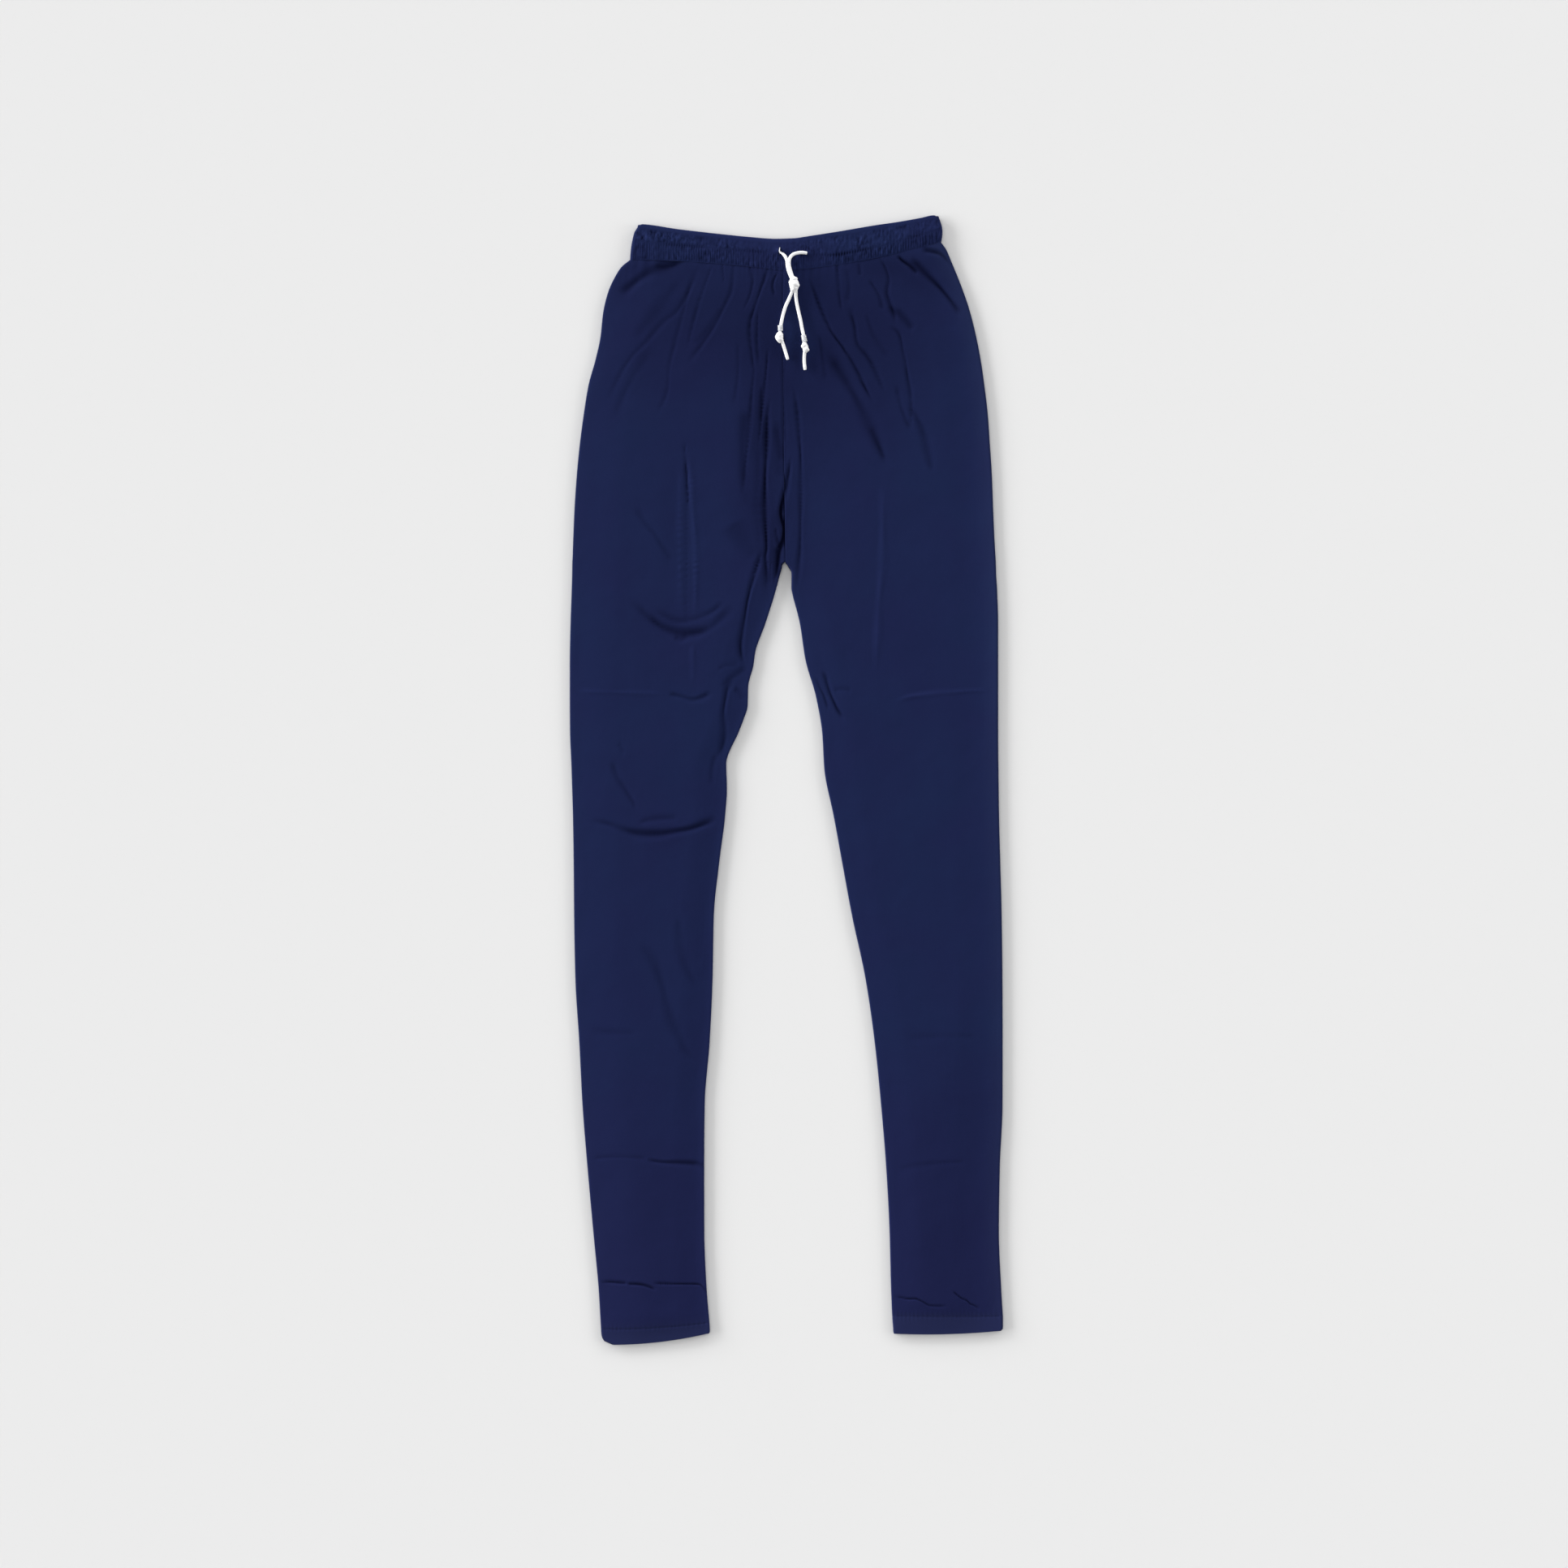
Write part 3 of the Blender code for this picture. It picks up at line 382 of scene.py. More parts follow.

# Creases given one by one: half width, depth (a ridge is below 0), lean to its
# left side, and the points that it runs through
Crease = namedtuple("Crease", "width depth lean points")
FRONT_CREASES = tuple(Crease(*row) for row in (
    # Just below the casing, from one side to the other
    (4.4, 1.35, 0.1, ((-96, 499), (-112, 491), (-129.5, 485), (-143.5, 476), (-160, 462))),
    (1.8, 0.6, 0, ((-126, 491), (-113.5, 490), (-103, 493))),
    (1.8, 0.9, 0, ((-149, 495.5), (-138.5, 500.5), (-131, 498))),
    (1.0, 0.6, 0, ((-61.5, 494), (-60.4, 484), (-59.4, 474))),
    (1.6, 0.75, 0.1, ((-50, 499), (-52, 470), (-58.5, 454), (-68.5, 433.5), (-82, 413.5), (-97, 395))),
    (1.2, 0.7, 0, ((-36, 494), (-32, 478), (-35, 462), (-42, 448))),
    (1.5, 1.1, 0.1, ((-17, 493), (-21, 478), (-28, 458.5), (-35, 433.5), (-32.5, 404), (-30, 386))),
    (1.7, 0.9, 0.1, ((-30, 398), (-32.9, 368.5), (-35, 340), (-40.3, 288), (-42, 268))),
    (1.4, 0.8, 0, ((-27, 450), (-28, 420), (-26, 396))),
    (1.2, 0.9, 0, ((-9, 484), (-13, 473), (-11, 462))),
    (2.1, 0.65, 0.1, ((-80, 498), (-95.5, 463), (-104.5, 447.5), (-118.5, 436), (-134, 418),
        (-152, 398), (-172, 360))),
    (1.6, 0.6, 0.1, ((-86, 484), (-93.5, 465.5), (-100, 440.5), (-106, 418), (-111.5, 395.5),
        (-114.5, 368.5), (-126, 344))),
    (1.4, 0.7, 0.1, ((-69, 496), (-82, 460.5), (-89, 436), (-95, 410))),
    (5.0, 0.5, 0, ((-100, 478), (-120, 452), (-146, 420))),
    (2.6, 0.45, 0, ((-60, 452), (-74, 430), (-88, 416))),
    (3.4, 0.4, 0, ((-128, 412), (-150, 378), (-164, 344))),
    (1.8, 0.5, 0, ((-46, 420), (-46, 388), (-50, 356))),
    (2.4, 0.5, 0, ((58, 488), (60, 470), (58, 455))),
    (2.2, 0.5, 0, ((76, 446), (84, 424), (98, 402))),
    (1.3, 1.0, 0.1, ((47.5, 496), (49, 483), (50.5, 463), (53, 446))),
    (1.2, 0.8, 0, ((69, 494), (70, 488), (70.5, 481))),
    (2.0, 1.2, 0.1, ((60, 453), (65, 433.5), (68, 416), (80.5, 399.5), (95, 367))),
    (1.6, 1.1, 0.1, ((88, 500), (91.5, 494.5), (95, 488), (97.6, 478), (96, 466), (98.5, 456),
        (101.5, 447.5), (105, 433))),
    (1.6, 1.5, 0.2, ((20, 482), (31, 454), (42.5, 429), (53.5, 413.5), (65, 395.5), (76, 373),
        (86, 354))),
    (4.4, 1.1, 0.1, ((37, 412), (53.5, 386), (67, 364), (78.5, 341.5), (87.5, 321), (97, 297))),
    (2.8, 0.4, 0, ((43, 401), (51, 390), (60, 376))),
    (2.8, 0.7, 0, ((80, 338), (87.5, 321), (95, 303))),
    (1.8, 0.7, 0, ((31, 424), (34.5, 399.5), (38.5, 380))),
    (1.5, 0.9, 0, ((79, 478), (82, 473), (86, 467), (89.7, 459), (92, 448))),
    (2.8, 1.1, 0, ((97, 453), (103, 447), (108, 445), (115, 438), (122, 429))),
    (1.4, 1.1, 0.1, ((96, 434), (105.5, 428.5), (109, 422), (111, 411), (112.5, 404), (115.5, 386),
        (119, 364), (119, 334))),
    (2.0, 0.8, 0, ((105, 379), (110, 354.5), (119.5, 333))),
    (3.2, 1.0, 0.1, ((118, 359), (130, 334.5), (135, 314), (140, 292))),
    (1.8, 1.9, 0.1, ((106, 501), (111, 496), (118, 491), (126, 483))),
    (2.8, 2.0, 0.1, ((118, 499), (128, 489), (137, 480), (147, 470), (157, 458), (169, 442))),
    (1.9, 2.0, 0.1, ((129, 506.5), (138, 505), (147, 502.5), (154, 496.5), (160, 490))),
    # Round the centre seam and the crotch
    (1.5, 1.0, 0, ((-17.5, 414), (-19.7, 385.5), (-24, 346), (-26.5, 318))),
    (2.2, 2.0, 0.2, ((-15, 367), (-18.2, 346), (-19.1, 313.5), (-20.4, 289.5), (-20.4, 258.5),
        (-19.1, 223.5), (-20.2, 212.5), (-18.6, 190), (-18, 174))),
    (1.3, 0.7, 0, ((-23.5, 377), (-24.4, 360), (-24.8, 341))),
    (3.8, 0.55, 0, ((-38, 356), (-40.7, 331), (-41, 309), (-41, 280))),
    (1.7, 0.8, 0, ((-3, 400), (-3, 368.5), (-2.3, 340), (-1, 318))),
    (3.8, 0.55, 0, ((-10, 338), (-6.4, 320), (-3.5, 302))),
    (2.0, 1.6, 0.2, ((5, 311), (2.3, 294), (0, 280), (-3.1, 268), (-5.4, 256), (-4.7, 250), (-2.3, 239),
        (-3.9, 226), (-6.6, 219), (-8.6, 206.5), (-10, 196), (-13, 180))),
    (2.8, 0.9, 0, ((-2.6, 266), (-5.2, 252), (-2.6, 239), (-4, 226), (-7.5, 217))),
    (1.3, 1.0, 0, ((-10.5, 241), (-7.8, 226), (-5.2, 220))),
    (4.2, 0.8, 0, ((-7, 223), (-8.1, 208), (-9.3, 192))),
    (1.2, 0.7, 0, ((-14.7, 212), (-15, 198), (-14.7, 186))),
    (1.9, 1.2, 0.2, ((6, 380), (9.8, 357.5), (12.4, 329), (13.8, 302.5), (13.8, 258.5), (13.2, 226),
        (12, 208), (10.9, 193), (8, 176))),
    (1.9, 1.8, 0.2, ((-22, 223), (-32.5, 190.5), (-37.2, 172.5), (-40.3, 154.5), (-42.6, 141.5),
        (-44.2, 129), (-42.6, 116.5), (-37, 106))),
    (2.4, 0.9, 0, ((-37, 108), (-50.5, 99), (-62, 89))),
    (2.4, 1.4, 0.1, ((-48, 96), (-56, 88.5), (-58.3, 79.5), (-60.5, 64), (-59.4, 48), (-60.5, 34.5),
        (-64.5, 20))),
    (3.2, 0.5, 0, ((-67, 26), (-70.6, 12), (-71, -5))),
    (1.6, 0.7, 0, ((-66, 106), (-55, 110.5), (-45, 111))),
    (2.8, 0.8, 0, ((-50, 87.5), (-45, 84), (-40, 78))),
    (9.0, 0.6, 0, ((-52, 246), (-41, 228), (-29, 211))),
    (5.0, 0.5, 0, ((-22, 392), (-25, 340), (-26, 280), (-25, 210))),
    (5.5, 0.35, 0, ((-38, 356), (-40, 306), (-37, 256))),
    (4.6, 0.45, 0, ((-9, 346), (-7, 318), (-6, 286))),
    (1.1, 1.5, 0, ((-1.2, 284), (-4, 268), (-5.7, 259), (-4.5, 249), (-2.7, 241), (-4.5, 229),
        (-9, 221), (-10.5, 212))),
    # Thighs and knees
    (1.5, 0.6, 0, ((-98.5, 318), (-95.7, 302), (-95, 262), (-95.2, 206), (-95.4, 140))),
    (2.4, -0.6, 0, ((-101, 300), (-101.4, 240), (-101, 156))),
    (1.1, 1.3, 0, ((-97.2, 324), (-96.4, 304), (-94.8, 284), (-93.4, 258))),
    (2.3, -0.85, 0.1, ((-93, 312), (-89.5, 262), (-86.8, 210), (-87.5, 150))),
    (1.8, -0.5, 0, ((-89.8, 130), (-89.4, 112), (-89, 93))),
    (2.6, 0.7, 0, ((-144, 262), (-135.5, 246.5), (-126.5, 235.5), (-117.5, 222), (-107, 206))),
    (3.8, 0.9, -0.05, ((-150, 174), (-138, 161.5), (-126.5, 151.5), (-115.5, 144.5), (-102, 141),
        (-82, 141), (-70.5, 147), (-59.5, 157), (-48, 169))),
    (3.0, 1.05, -0.05, ((-132, 157), (-120, 147.5), (-108, 142), (-97, 139.5), (-84, 142), (-72, 146))),
    (2.6, 0.9, 0, ((-107, 137), (-100.5, 134.5), (-94, 138))),
    (2.2, 0.9, 0, ((-126, 163), (-108.5, 153.5), (-95.3, 152.5), (-82, 156), (-70.5, 161.5),
        (-58, 171))),
    (1.8, -0.5, 0, ((-201, 85), (-160, 84), (-116, 82.5))),
    (2.4, 1.0, 0, ((-113, 83), (-99.5, 79.5), (-91, 77), (-82, 78.5), (-71, 84))),
    (2.0, -0.6, 0, ((102, 74), (116, 79.5), (134, 82), (154, 84), (196, 86.5))),
    (2.2, 0.45, 0, ((45, 86), (54, 87), (63, 86))),
    (2.2, 0.9, 0, ((-166.5, 19), (-161.5, 3.5), (-154.5, -8), (-147, -20), (-141.5, -29))),
    (1.6, 0.6, 0, ((-161, 36), (-158, 32), (-155, 25))),
    (3.2, 0.9, -0.05, ((-190, -37.5), (-171.5, -41.5), (-156, -47), (-142.5, -50.5), (-122, -51),
        (-104, -48.5), (-91, -46), (-79.5, -41.5), (-62, -35))),
    (2.8, 1.1, -0.05, ((-160, -46), (-142, -50.5), (-122, -51), (-104, -48.5), (-91, -46), (-78, -41.5),
        (-64, -36))),
    (2.2, 0.7, 0, ((-142, -41), (-126.5, -37), (-102, -35.5))),
    (2.6, -0.7, 0, ((92, 285), (91.6, 240), (91, 203), (88, 169), (86.8, 138), (84, 99))),
    (2.0, 1.5, 0.1, ((35, 105), (37.7, 97.5), (41, 86), (45.5, 75), (50, 66), (56, 58))),
    (1.7, 1.0, 0.1, ((27, 99), (32, 88.5), (36.4, 79.5), (40, 67))),
    # Calves and ankles
    (4.0, 0.5, 0, ((-103, -128), (-100, -163), (-92, -186), (-82, -200))),
    (4.2, 0.65, 0, ((-142, -152), (-126, -174), (-118, -196), (-110.5, -224), (-102, -245), (-93, -262),
        (-80, -267))),
    (2.6, 0.45, 0, ((-188, -239), (-165, -240.5), (-141, -240.5))),
    (1.7, 0.6, 0, ((-186, -361), (-160, -359.5), (-132, -361))),
    (1.9, 1.5, 0.1, ((-134, -362), (-118, -364.5), (-100, -365), (-82, -366.5), (-72, -368))),
    (1.0, 2.0, 0, ((-186, -478.2), (-169, -479), (-150, -480.2))),
    (1.0, 2.0, 0, ((-153, -480.6), (-144, -480.8), (-137, -481.6), (-131, -483.3), (-124, -486.6))),
    (1.0, 2.0, 0, ((-128, -480), (-105.3, -480.7), (-86, -481), (-80.5, -483), (-77.5, -488),
        (-76.5, -492))),
    (1.0, 1.5, 0, ((100, -491.8), (115, -494.9), (122.5, -494.8), (128.5, -496.8), (134.5, -500.2),
        (139, -501.6), (155, -502))),
    (0.9, 1.5, 0, ((158, -486.8), (166.5, -493.9), (172.5, -496.8), (175.5, -499.7), (179.7, -501.6),
        (186, -505.4))),
    (2.2, 0.45, 0, ((104, -371), (138, -366), (174, -364))),
    (2.4, 0.4, 0, ((112, -246), (148, -244), (185, -244.5))),
))
BACK_CREASES = tuple(Crease(*row) for row in (
    (3.0, 0.45, 0, ((-120, 486), (-112, 440), (-118, 380))),
    (2.4, 0.4, 0, ((-70, 484), (-66, 450), (-78, 402))),
    (3.2, 0.5, 0, ((62, 488), (70, 446), (64, 398))),
    (2.4, 0.4, 0, ((112, 494), (104, 452), (116, 410))),
    (2.6, 0.5, 0, ((-12, 300), (-22, 260), (-44, 214))),
    (2.6, 0.5, 0, ((10, 304), (22, 262), (46, 220))),
    (3.6, 0.5, 0, ((-168, 150), (-118, 132), (-62, 148))),
    (3.6, 0.4, 0, ((60, 128), (112, 118), (172, 134))),
    (2.4, 0.4, 0, ((-176, -30), (-130, -46), (-78, -34))),
    (2.6, 0.4, 0, ((76, -38), (130, -30), (186, -44))),
    (3.0, 0.35, 0, ((-150, -180), (-124, -226), (-96, -262))),
    (2.0, 0.45, 0, ((-176, -362), (-128, -366), (-86, -360))),
    (2.2, 0.4, 0, ((110, -352), (156, -360), (196, -354))),
    (1.8, 0.4, 0, ((-164, -482), (-128, -486), (-92, -480))),
))

# Broad painted shade and light, darker in the hips and crotch: place, half sizes and how much lighter or
# darker
Shade = namedtuple("Shade", "x y half_x half_y amount")
SHADES = tuple(Shade(*row) for row in (
    (-58, 440, 84, 58, -0.24),
    (76, 428, 66, 78, -0.26),
    (-14, 350, 24, 110, -0.18),
    (-34, 320, 16, 100, -0.10),
    (-12, 216, 12, 24, -0.20),
    (206, 210, 32, 300, 0.22),
    # Painted light beside and between the cord's strands, against their cast shadows
    (22, 426, 13, 42, 0.20),
    (3, 431, 6, 25, 0.65),
    (22, 408, 9, 22, 0.14),
    (-120, 488, 30, 11, -0.15),
    (104, 490, 42, 12, -0.2),
    (-138, 396, 32, 40, -0.09),
    (-112, 242, 12, 50, -0.1),
    (14, 246, 9, 34, -0.12),
    (-13, 246, 11, 26, -0.14),
    (-156, 469, 14, 12, -0.13),
    (132, 474, 26, 14, -0.12),
    (-36, 245, 20, 34, -0.08),
    (-168, 360, 16, 28, -0.06),
    (-50, 330, 100, 60, -0.04),
    (92, 335, 14, 50, -0.05),
    (-98, -350, 14, 130, 0.04),
    (24, 372, 20, 60, -0.14),
    (-120, -440, 30, 120, -0.09),
    (-112, -262, 40, 110, -0.03),
    (152, -440, 34, 110, -0.14),
    (172, -305, 24, 60, -0.07),
    (-120, 152, 26, 16, -0.08),
    (-112, -52, 34, 12, -0.08),
))

# Places of the cord's middle, from its eyelet to its end
RIGHT_ROUTE = (
    (-6.6, 504.0, 5.9), (-3.4, 502.1, 6.7), (-0.9, 499.2, 7.6), (0.5, 495.4, 7.7),
    (0.9, 491.0, 7.7), (1.9, 486.4, 7.7), (3.5, 481.9, 8.0), (5.4, 477.4, 8.6),
    (6.6, 472.5, 8.7), (6.3, 468.3, 8.2), (5.0, 464.8, 7.7), (2.5, 459.2, 7.7),
    (-0.7, 452.2, 7.7), (-2.9, 445.2, 7.7), (-4.5, 438.3, 8.1), (-5.6, 431.3, 8.7),
    (-6.0, 426.0, 8.7), (-5.2, 421.0, 8.6), (-3.4, 416.4, 8.2), (-1.2, 409.6, 7.7),
    (1.3, 401.2, 7.7),
)
LEFT_ROUTE = (
    (19.6, 503.0, 5.9), (15.5, 503.4, 6.7), (11.4, 503.0, 8.0), (7.2, 501.6, 9.9),
    (4.2, 499.0, 11.4), (2.7, 495.4, 11.8), (2.6, 491.0, 11.8), (3.6, 486.4, 11.9),
    (5.0, 481.9, 12.1), (6.7, 477.4, 12.7), (8.2, 472.5, 12.8), (8.9, 468.3, 11.9),
    (9.0, 464.5, 9.8), (9.1, 460.4, 8.0), (10.1, 453.8, 7.7), (12.0, 445.2, 7.7),
    (13.6, 438.3, 7.7), (14.8, 431.5, 8.1), (16.0, 426.0, 8.6), (17.0, 420.8, 8.7),
    (17.7, 416.0, 8.7), (17.8, 411.6, 8.5), (17.2, 406.2, 7.9), (17.0, 399.5, 7.7),
    (17.8, 391.4, 7.7),
)
Turn = namedtuple("Turn", "centre half_x half_z tilt lean start radius")


def ease(value):
    """Rise from 0 to 1, level at both ends."""
    held = np.clip(value, 0.0, 1.0)
    return held * held * (3.0 - 2.0 * held)


def hump(distance, run, power=2):
    """A soft hump, 1 at its middle."""
    return np.exp(-((distance / run) ** power))


def waves(x, pitch, swing, swing_run):
    """Angle of waves at a pitch that swings a little to and fro."""
    return x / pitch * 2.0 * math.pi + swing * np.sin(x / swing_run)


def through(places, values, at):
    """Read a soft curve through a table's values, with no swing past them."""
    places = np.asarray(places, float)
    values = np.asarray(values, float)
    at = np.asarray(at, float)
    run = np.diff(places)
    pitch = np.diff(values) / run
    slope = np.empty(len(values))
    slope[0] = pitch[0]
    slope[-1] = pitch[-1]
    for i in range(1, len(values) - 1):
        before, after = pitch[i - 1], pitch[i]
        slope[i] = 2.0 * before * after / (before + after) if before * after > 0 else 0.0
    i = np.clip(np.searchsorted(places, at, "right") - 1, 0, len(run) - 1)
    f = (at - places[i]) / run[i]
    start = (1.0 + 2.0 * f) * (1.0 - f) ** 2 * values[i]
    end = f * f * (3.0 - 2.0 * f) * values[i + 1]
    leave = f * (1.0 - f) ** 2 * run[i] * slope[i]
    arrive = f * f * (1.0 - f) * run[i] * slope[i + 1]
    return start + end + leave - arrive


def smooth_route(points, steps):
    """Round off a given line without leaving its points."""
    points = np.asarray(points, float)
    route = []
    for i in range(len(points) - 1):
        p0 = points[max(i - 1, 0)]
        p1, p2 = points[i], points[i + 1]
        p3 = points[min(i + 2, len(points) - 1)]
        for step in range(steps):
            t = step / steps
            a = 2.0 * p1
            b = (p2 - p0) * t
            c = (2.0 * p0 - 5.0 * p1 + 4.0 * p2 - p3) * t * t
            d = (3.0 * p1 - p0 - 3.0 * p2 + p3) * t ** 3
            route.append(0.5 * (a + b + c + d))
    route.append(points[-1])
    return np.array(route)


# Materials
def new_material(name):
    """An empty node material and its shader."""
    material = bpy.data.materials.new(name)
    material.use_nodes = True
    shader = material.node_tree.nodes["Principled BSDF"]
    return material, material.node_tree, shader


def add_node(tree, kind, **settings):
    """A node with its settings; the names of sockets go by their own words."""
    node = tree.nodes.new(kind)
    for key, value in settings.items():
        if hasattr(node, key):
            setattr(node, key, value)
        else:
            node.inputs[key.replace("_", " ")].default_value = value
    return node


def navy_jersey():
    """Fine knitted cotton jersey: wales, courses, a soft nap, a paler greyer tone at the hems and edges,
    and painted shade and light.
    """
    material, tree, shader = new_material("navy_jersey")
    link = tree.links.new
    uv = add_node(tree, "ShaderNodeUVMap", uv_map="cloth")
    place = add_node(tree, "ShaderNodeTexCoord")
    # Painted shade and light with the cloth's own tone, stored on the pieces
    painted_shade_and_tone = add_node(tree, "ShaderNodeAttribute", attribute_name="painted_shade_and_tone")
    pale_grey = add_node(tree, "ShaderNodeAttribute", attribute_name="pale_grey")
    warm = add_node(tree, "ShaderNodeAttribute", attribute_name="warm")

    wales = add_node(tree, "ShaderNodeTexWave", bands_direction="X", Scale=330.0, Distortion=0.6)
    courses = add_node(tree, "ShaderNodeTexWave", bands_direction="Y", Scale=260.0, Distortion=0.4)
    link(uv.outputs["UV"], wales.inputs["Vector"])
    link(uv.outputs["UV"], courses.inputs["Vector"])
    knit = add_node(tree, "ShaderNodeMix", data_type="FLOAT")
    knit.inputs[0].default_value = 0.35
    link(wales.outputs["Fac"], knit.inputs[2])
    link(courses.outputs["Fac"], knit.inputs[3])

    nap = add_node(tree, "ShaderNodeTexNoise", Scale=900.0, Detail=3.0, Roughness=0.6)
    link(place.outputs["Object"], nap.inputs["Vector"])
    surface = add_node(tree, "ShaderNodeMix", data_type="FLOAT")
    surface.inputs[0].default_value = 0.45
    link(knit.outputs[0], surface.inputs[2])
    link(nap.outputs["Fac"], surface.inputs[3])
    bump = add_node(tree, "ShaderNodeBump", Strength=0.35, Distance=0.00025)
    link(surface.outputs[0], bump.inputs["Height"])
    link(bump.outputs["Normal"], shader.inputs["Normal"])

    cloud = add_node(tree, "ShaderNodeTexNoise", Scale=11.0, Detail=4.0, Roughness=0.55)
    link(place.outputs["Object"], cloud.inputs["Vector"])
    tone = add_node(tree, "ShaderNodeMapRange", From_Min=0.3, From_Max=0.7, To_Min=0.0, To_Max=1.0)
    link(cloud.outputs["Fac"], tone.inputs["Value"])
    body = add_node(tree, "ShaderNodeMix", data_type="RGBA")
    body.inputs[6].default_value = NAVY_DEEP
    body.inputs[7].default_value = NAVY_PALE
    link(tone.outputs["Result"], body.inputs[0])

    warmed = add_node(tree, "ShaderNodeMix", data_type="RGBA")
    warmed.inputs[7].default_value = NAVY_WARM
    link(warm.outputs["Fac"], warmed.inputs[0])
    link(body.outputs[2], warmed.inputs[6])

    # The painted shade and light, with the cloth's tone, scale the colour
    lifted = add_node(tree, "ShaderNodeVectorMath", operation="MULTIPLY_ADD")
    lifted.inputs[1].default_value = TONE_ON_COLOUR
    lifted.inputs[2].default_value = (1.0, 1.0, 1.0)
    link(painted_shade_and_tone.outputs["Fac"], lifted.inputs[0])
    shaded = add_node(tree, "ShaderNodeVectorMath", operation="MULTIPLY")
    link(warmed.outputs[2], shaded.inputs[0])
    link(lifted.outputs[0], shaded.inputs[1])
    paled = add_node(tree, "ShaderNodeVectorMath", operation="MULTIPLY_ADD")
    paled.inputs[0].default_value = PALE_GREY_LIFT
    link(pale_grey.outputs["Fac"], paled.inputs[1])
    link(shaded.outputs["Vector"], paled.inputs[2])
    link(paled.outputs["Vector"], shader.inputs["Base Color"])

    shader.inputs["Roughness"].default_value = 0.9
    shader.inputs["Specular IOR Level"].default_value = 0.035
    shader.inputs["Sheen Weight"].default_value = 0.06
    shader.inputs["Sheen Roughness"].default_value = 0.45
    shader.inputs["Sheen Tint"].default_value = (0.60, 0.60, 0.78, 1.0)
    return material


def white_cord():
    """Soft white cotton cord with a fine round braid."""
    material, tree, shader = new_material("white_cord")
    link = tree.links.new
    uv = add_node(tree, "ShaderNodeUVMap", uv_map="cloth")
    strands = []
    for turn in (1.0, -1.0):
        lean = add_node(tree, "ShaderNodeMapping")
        lean.inputs["Scale"].default_value = (8.0, 700.0 * turn, 1.0)
        wave = add_node(tree, "ShaderNodeTexWave", bands_direction="DIAGONAL", Scale=0.28)
        link(uv.outputs["UV"], lean.inputs["Vector"])
        link(lean.outputs["Vector"], wave.inputs["Vector"])
        strands.append(wave)
    braid = add_node(tree, "ShaderNodeMath", operation="MAXIMUM")
    link(strands[0].outputs["Fac"], braid.inputs[0])
    link(strands[1].outputs["Fac"], braid.inputs[1])
    bump = add_node(tree, "ShaderNodeBump", Strength=0.25, Distance=0.0003)
    link(braid.outputs[0], bump.inputs["Height"])
    link(bump.outputs["Normal"], shader.inputs["Normal"])
    # Painted shade in the braid's grooves: darker where the braid is low
    shade = add_node(tree, "ShaderNodeMix", data_type="RGBA")
    shade.inputs[6].default_value = (0.87, 0.87, 0.89, 1.0)
    shade.inputs[7].default_value = (0.95, 0.95, 0.95, 1.0)
    link(braid.outputs[0], shade.inputs[0])
    link(shade.outputs[2], shader.inputs["Base Color"])
    shader.inputs["Roughness"].default_value = 0.85
    shader.inputs["Specular IOR Level"].default_value = 0.2
    shader.inputs["Sheen Weight"].default_value = 0.2
    return material


def clear_bead():
    """Milky clear plastic, a little cloudy inside."""
    material, tree, shader = new_material("clear_bead")
    place = add_node(tree, "ShaderNodeTexCoord")
    cloud = add_node(tree, "ShaderNodeTexNoise", Scale=420.0, Detail=2.0)
    tree.links.new(place.outputs["Object"], cloud.inputs["Vector"])
    tone = add_node(tree, "ShaderNodeMix", data_type="RGBA")
    tone.inputs[6].default_value = (0.84, 0.86, 0.90, 1.0)
    tone.inputs[7].default_value = (0.95, 0.96, 0.97, 1.0)
    tree.links.new(cloud.outputs["Fac"], tone.inputs[0])
    tree.links.new(tone.outputs[2], shader.inputs["Base Color"])
    shader.inputs["Roughness"].default_value = 0.1
    shader.inputs["Transmission Weight"].default_value = 0.5
    shader.inputs["Coat Weight"].default_value = 0.3
    return material


def navy_thread():
    """Twisted polyester thread, a shade deeper than the cloth."""
    material, tree, shader = new_material("navy_thread")
    place = add_node(tree, "ShaderNodeTexCoord")
    ply = add_node(tree, "ShaderNodeTexWave", bands_direction="DIAGONAL", Scale=900.0)
    tree.links.new(place.outputs["Object"], ply.inputs["Vector"])
    bump = add_node(tree, "ShaderNodeBump", Strength=0.3, Distance=0.0001)
    tree.links.new(ply.outputs["Fac"], bump.inputs["Height"])
    tree.links.new(bump.outputs["Normal"], shader.inputs["Normal"])
    shader.inputs["Base Color"].default_value = (0.0072, 0.0115, 0.046, 1.0)
    shader.inputs["Roughness"].default_value = 0.75
    shader.inputs["Specular IOR Level"].default_value = 0.1
    return material


def pale_floor():
    """Even pale studio floor."""
    material, tree, shader = new_material("pale_floor")
    shader.inputs["Base Color"].default_value = (FLOOR_ALBEDO, FLOOR_ALBEDO, FLOOR_ALBEDO, 1.0)
    shader.inputs["Roughness"].default_value = 1.0
    shader.inputs["Specular IOR Level"].default_value = 0.0
    return material


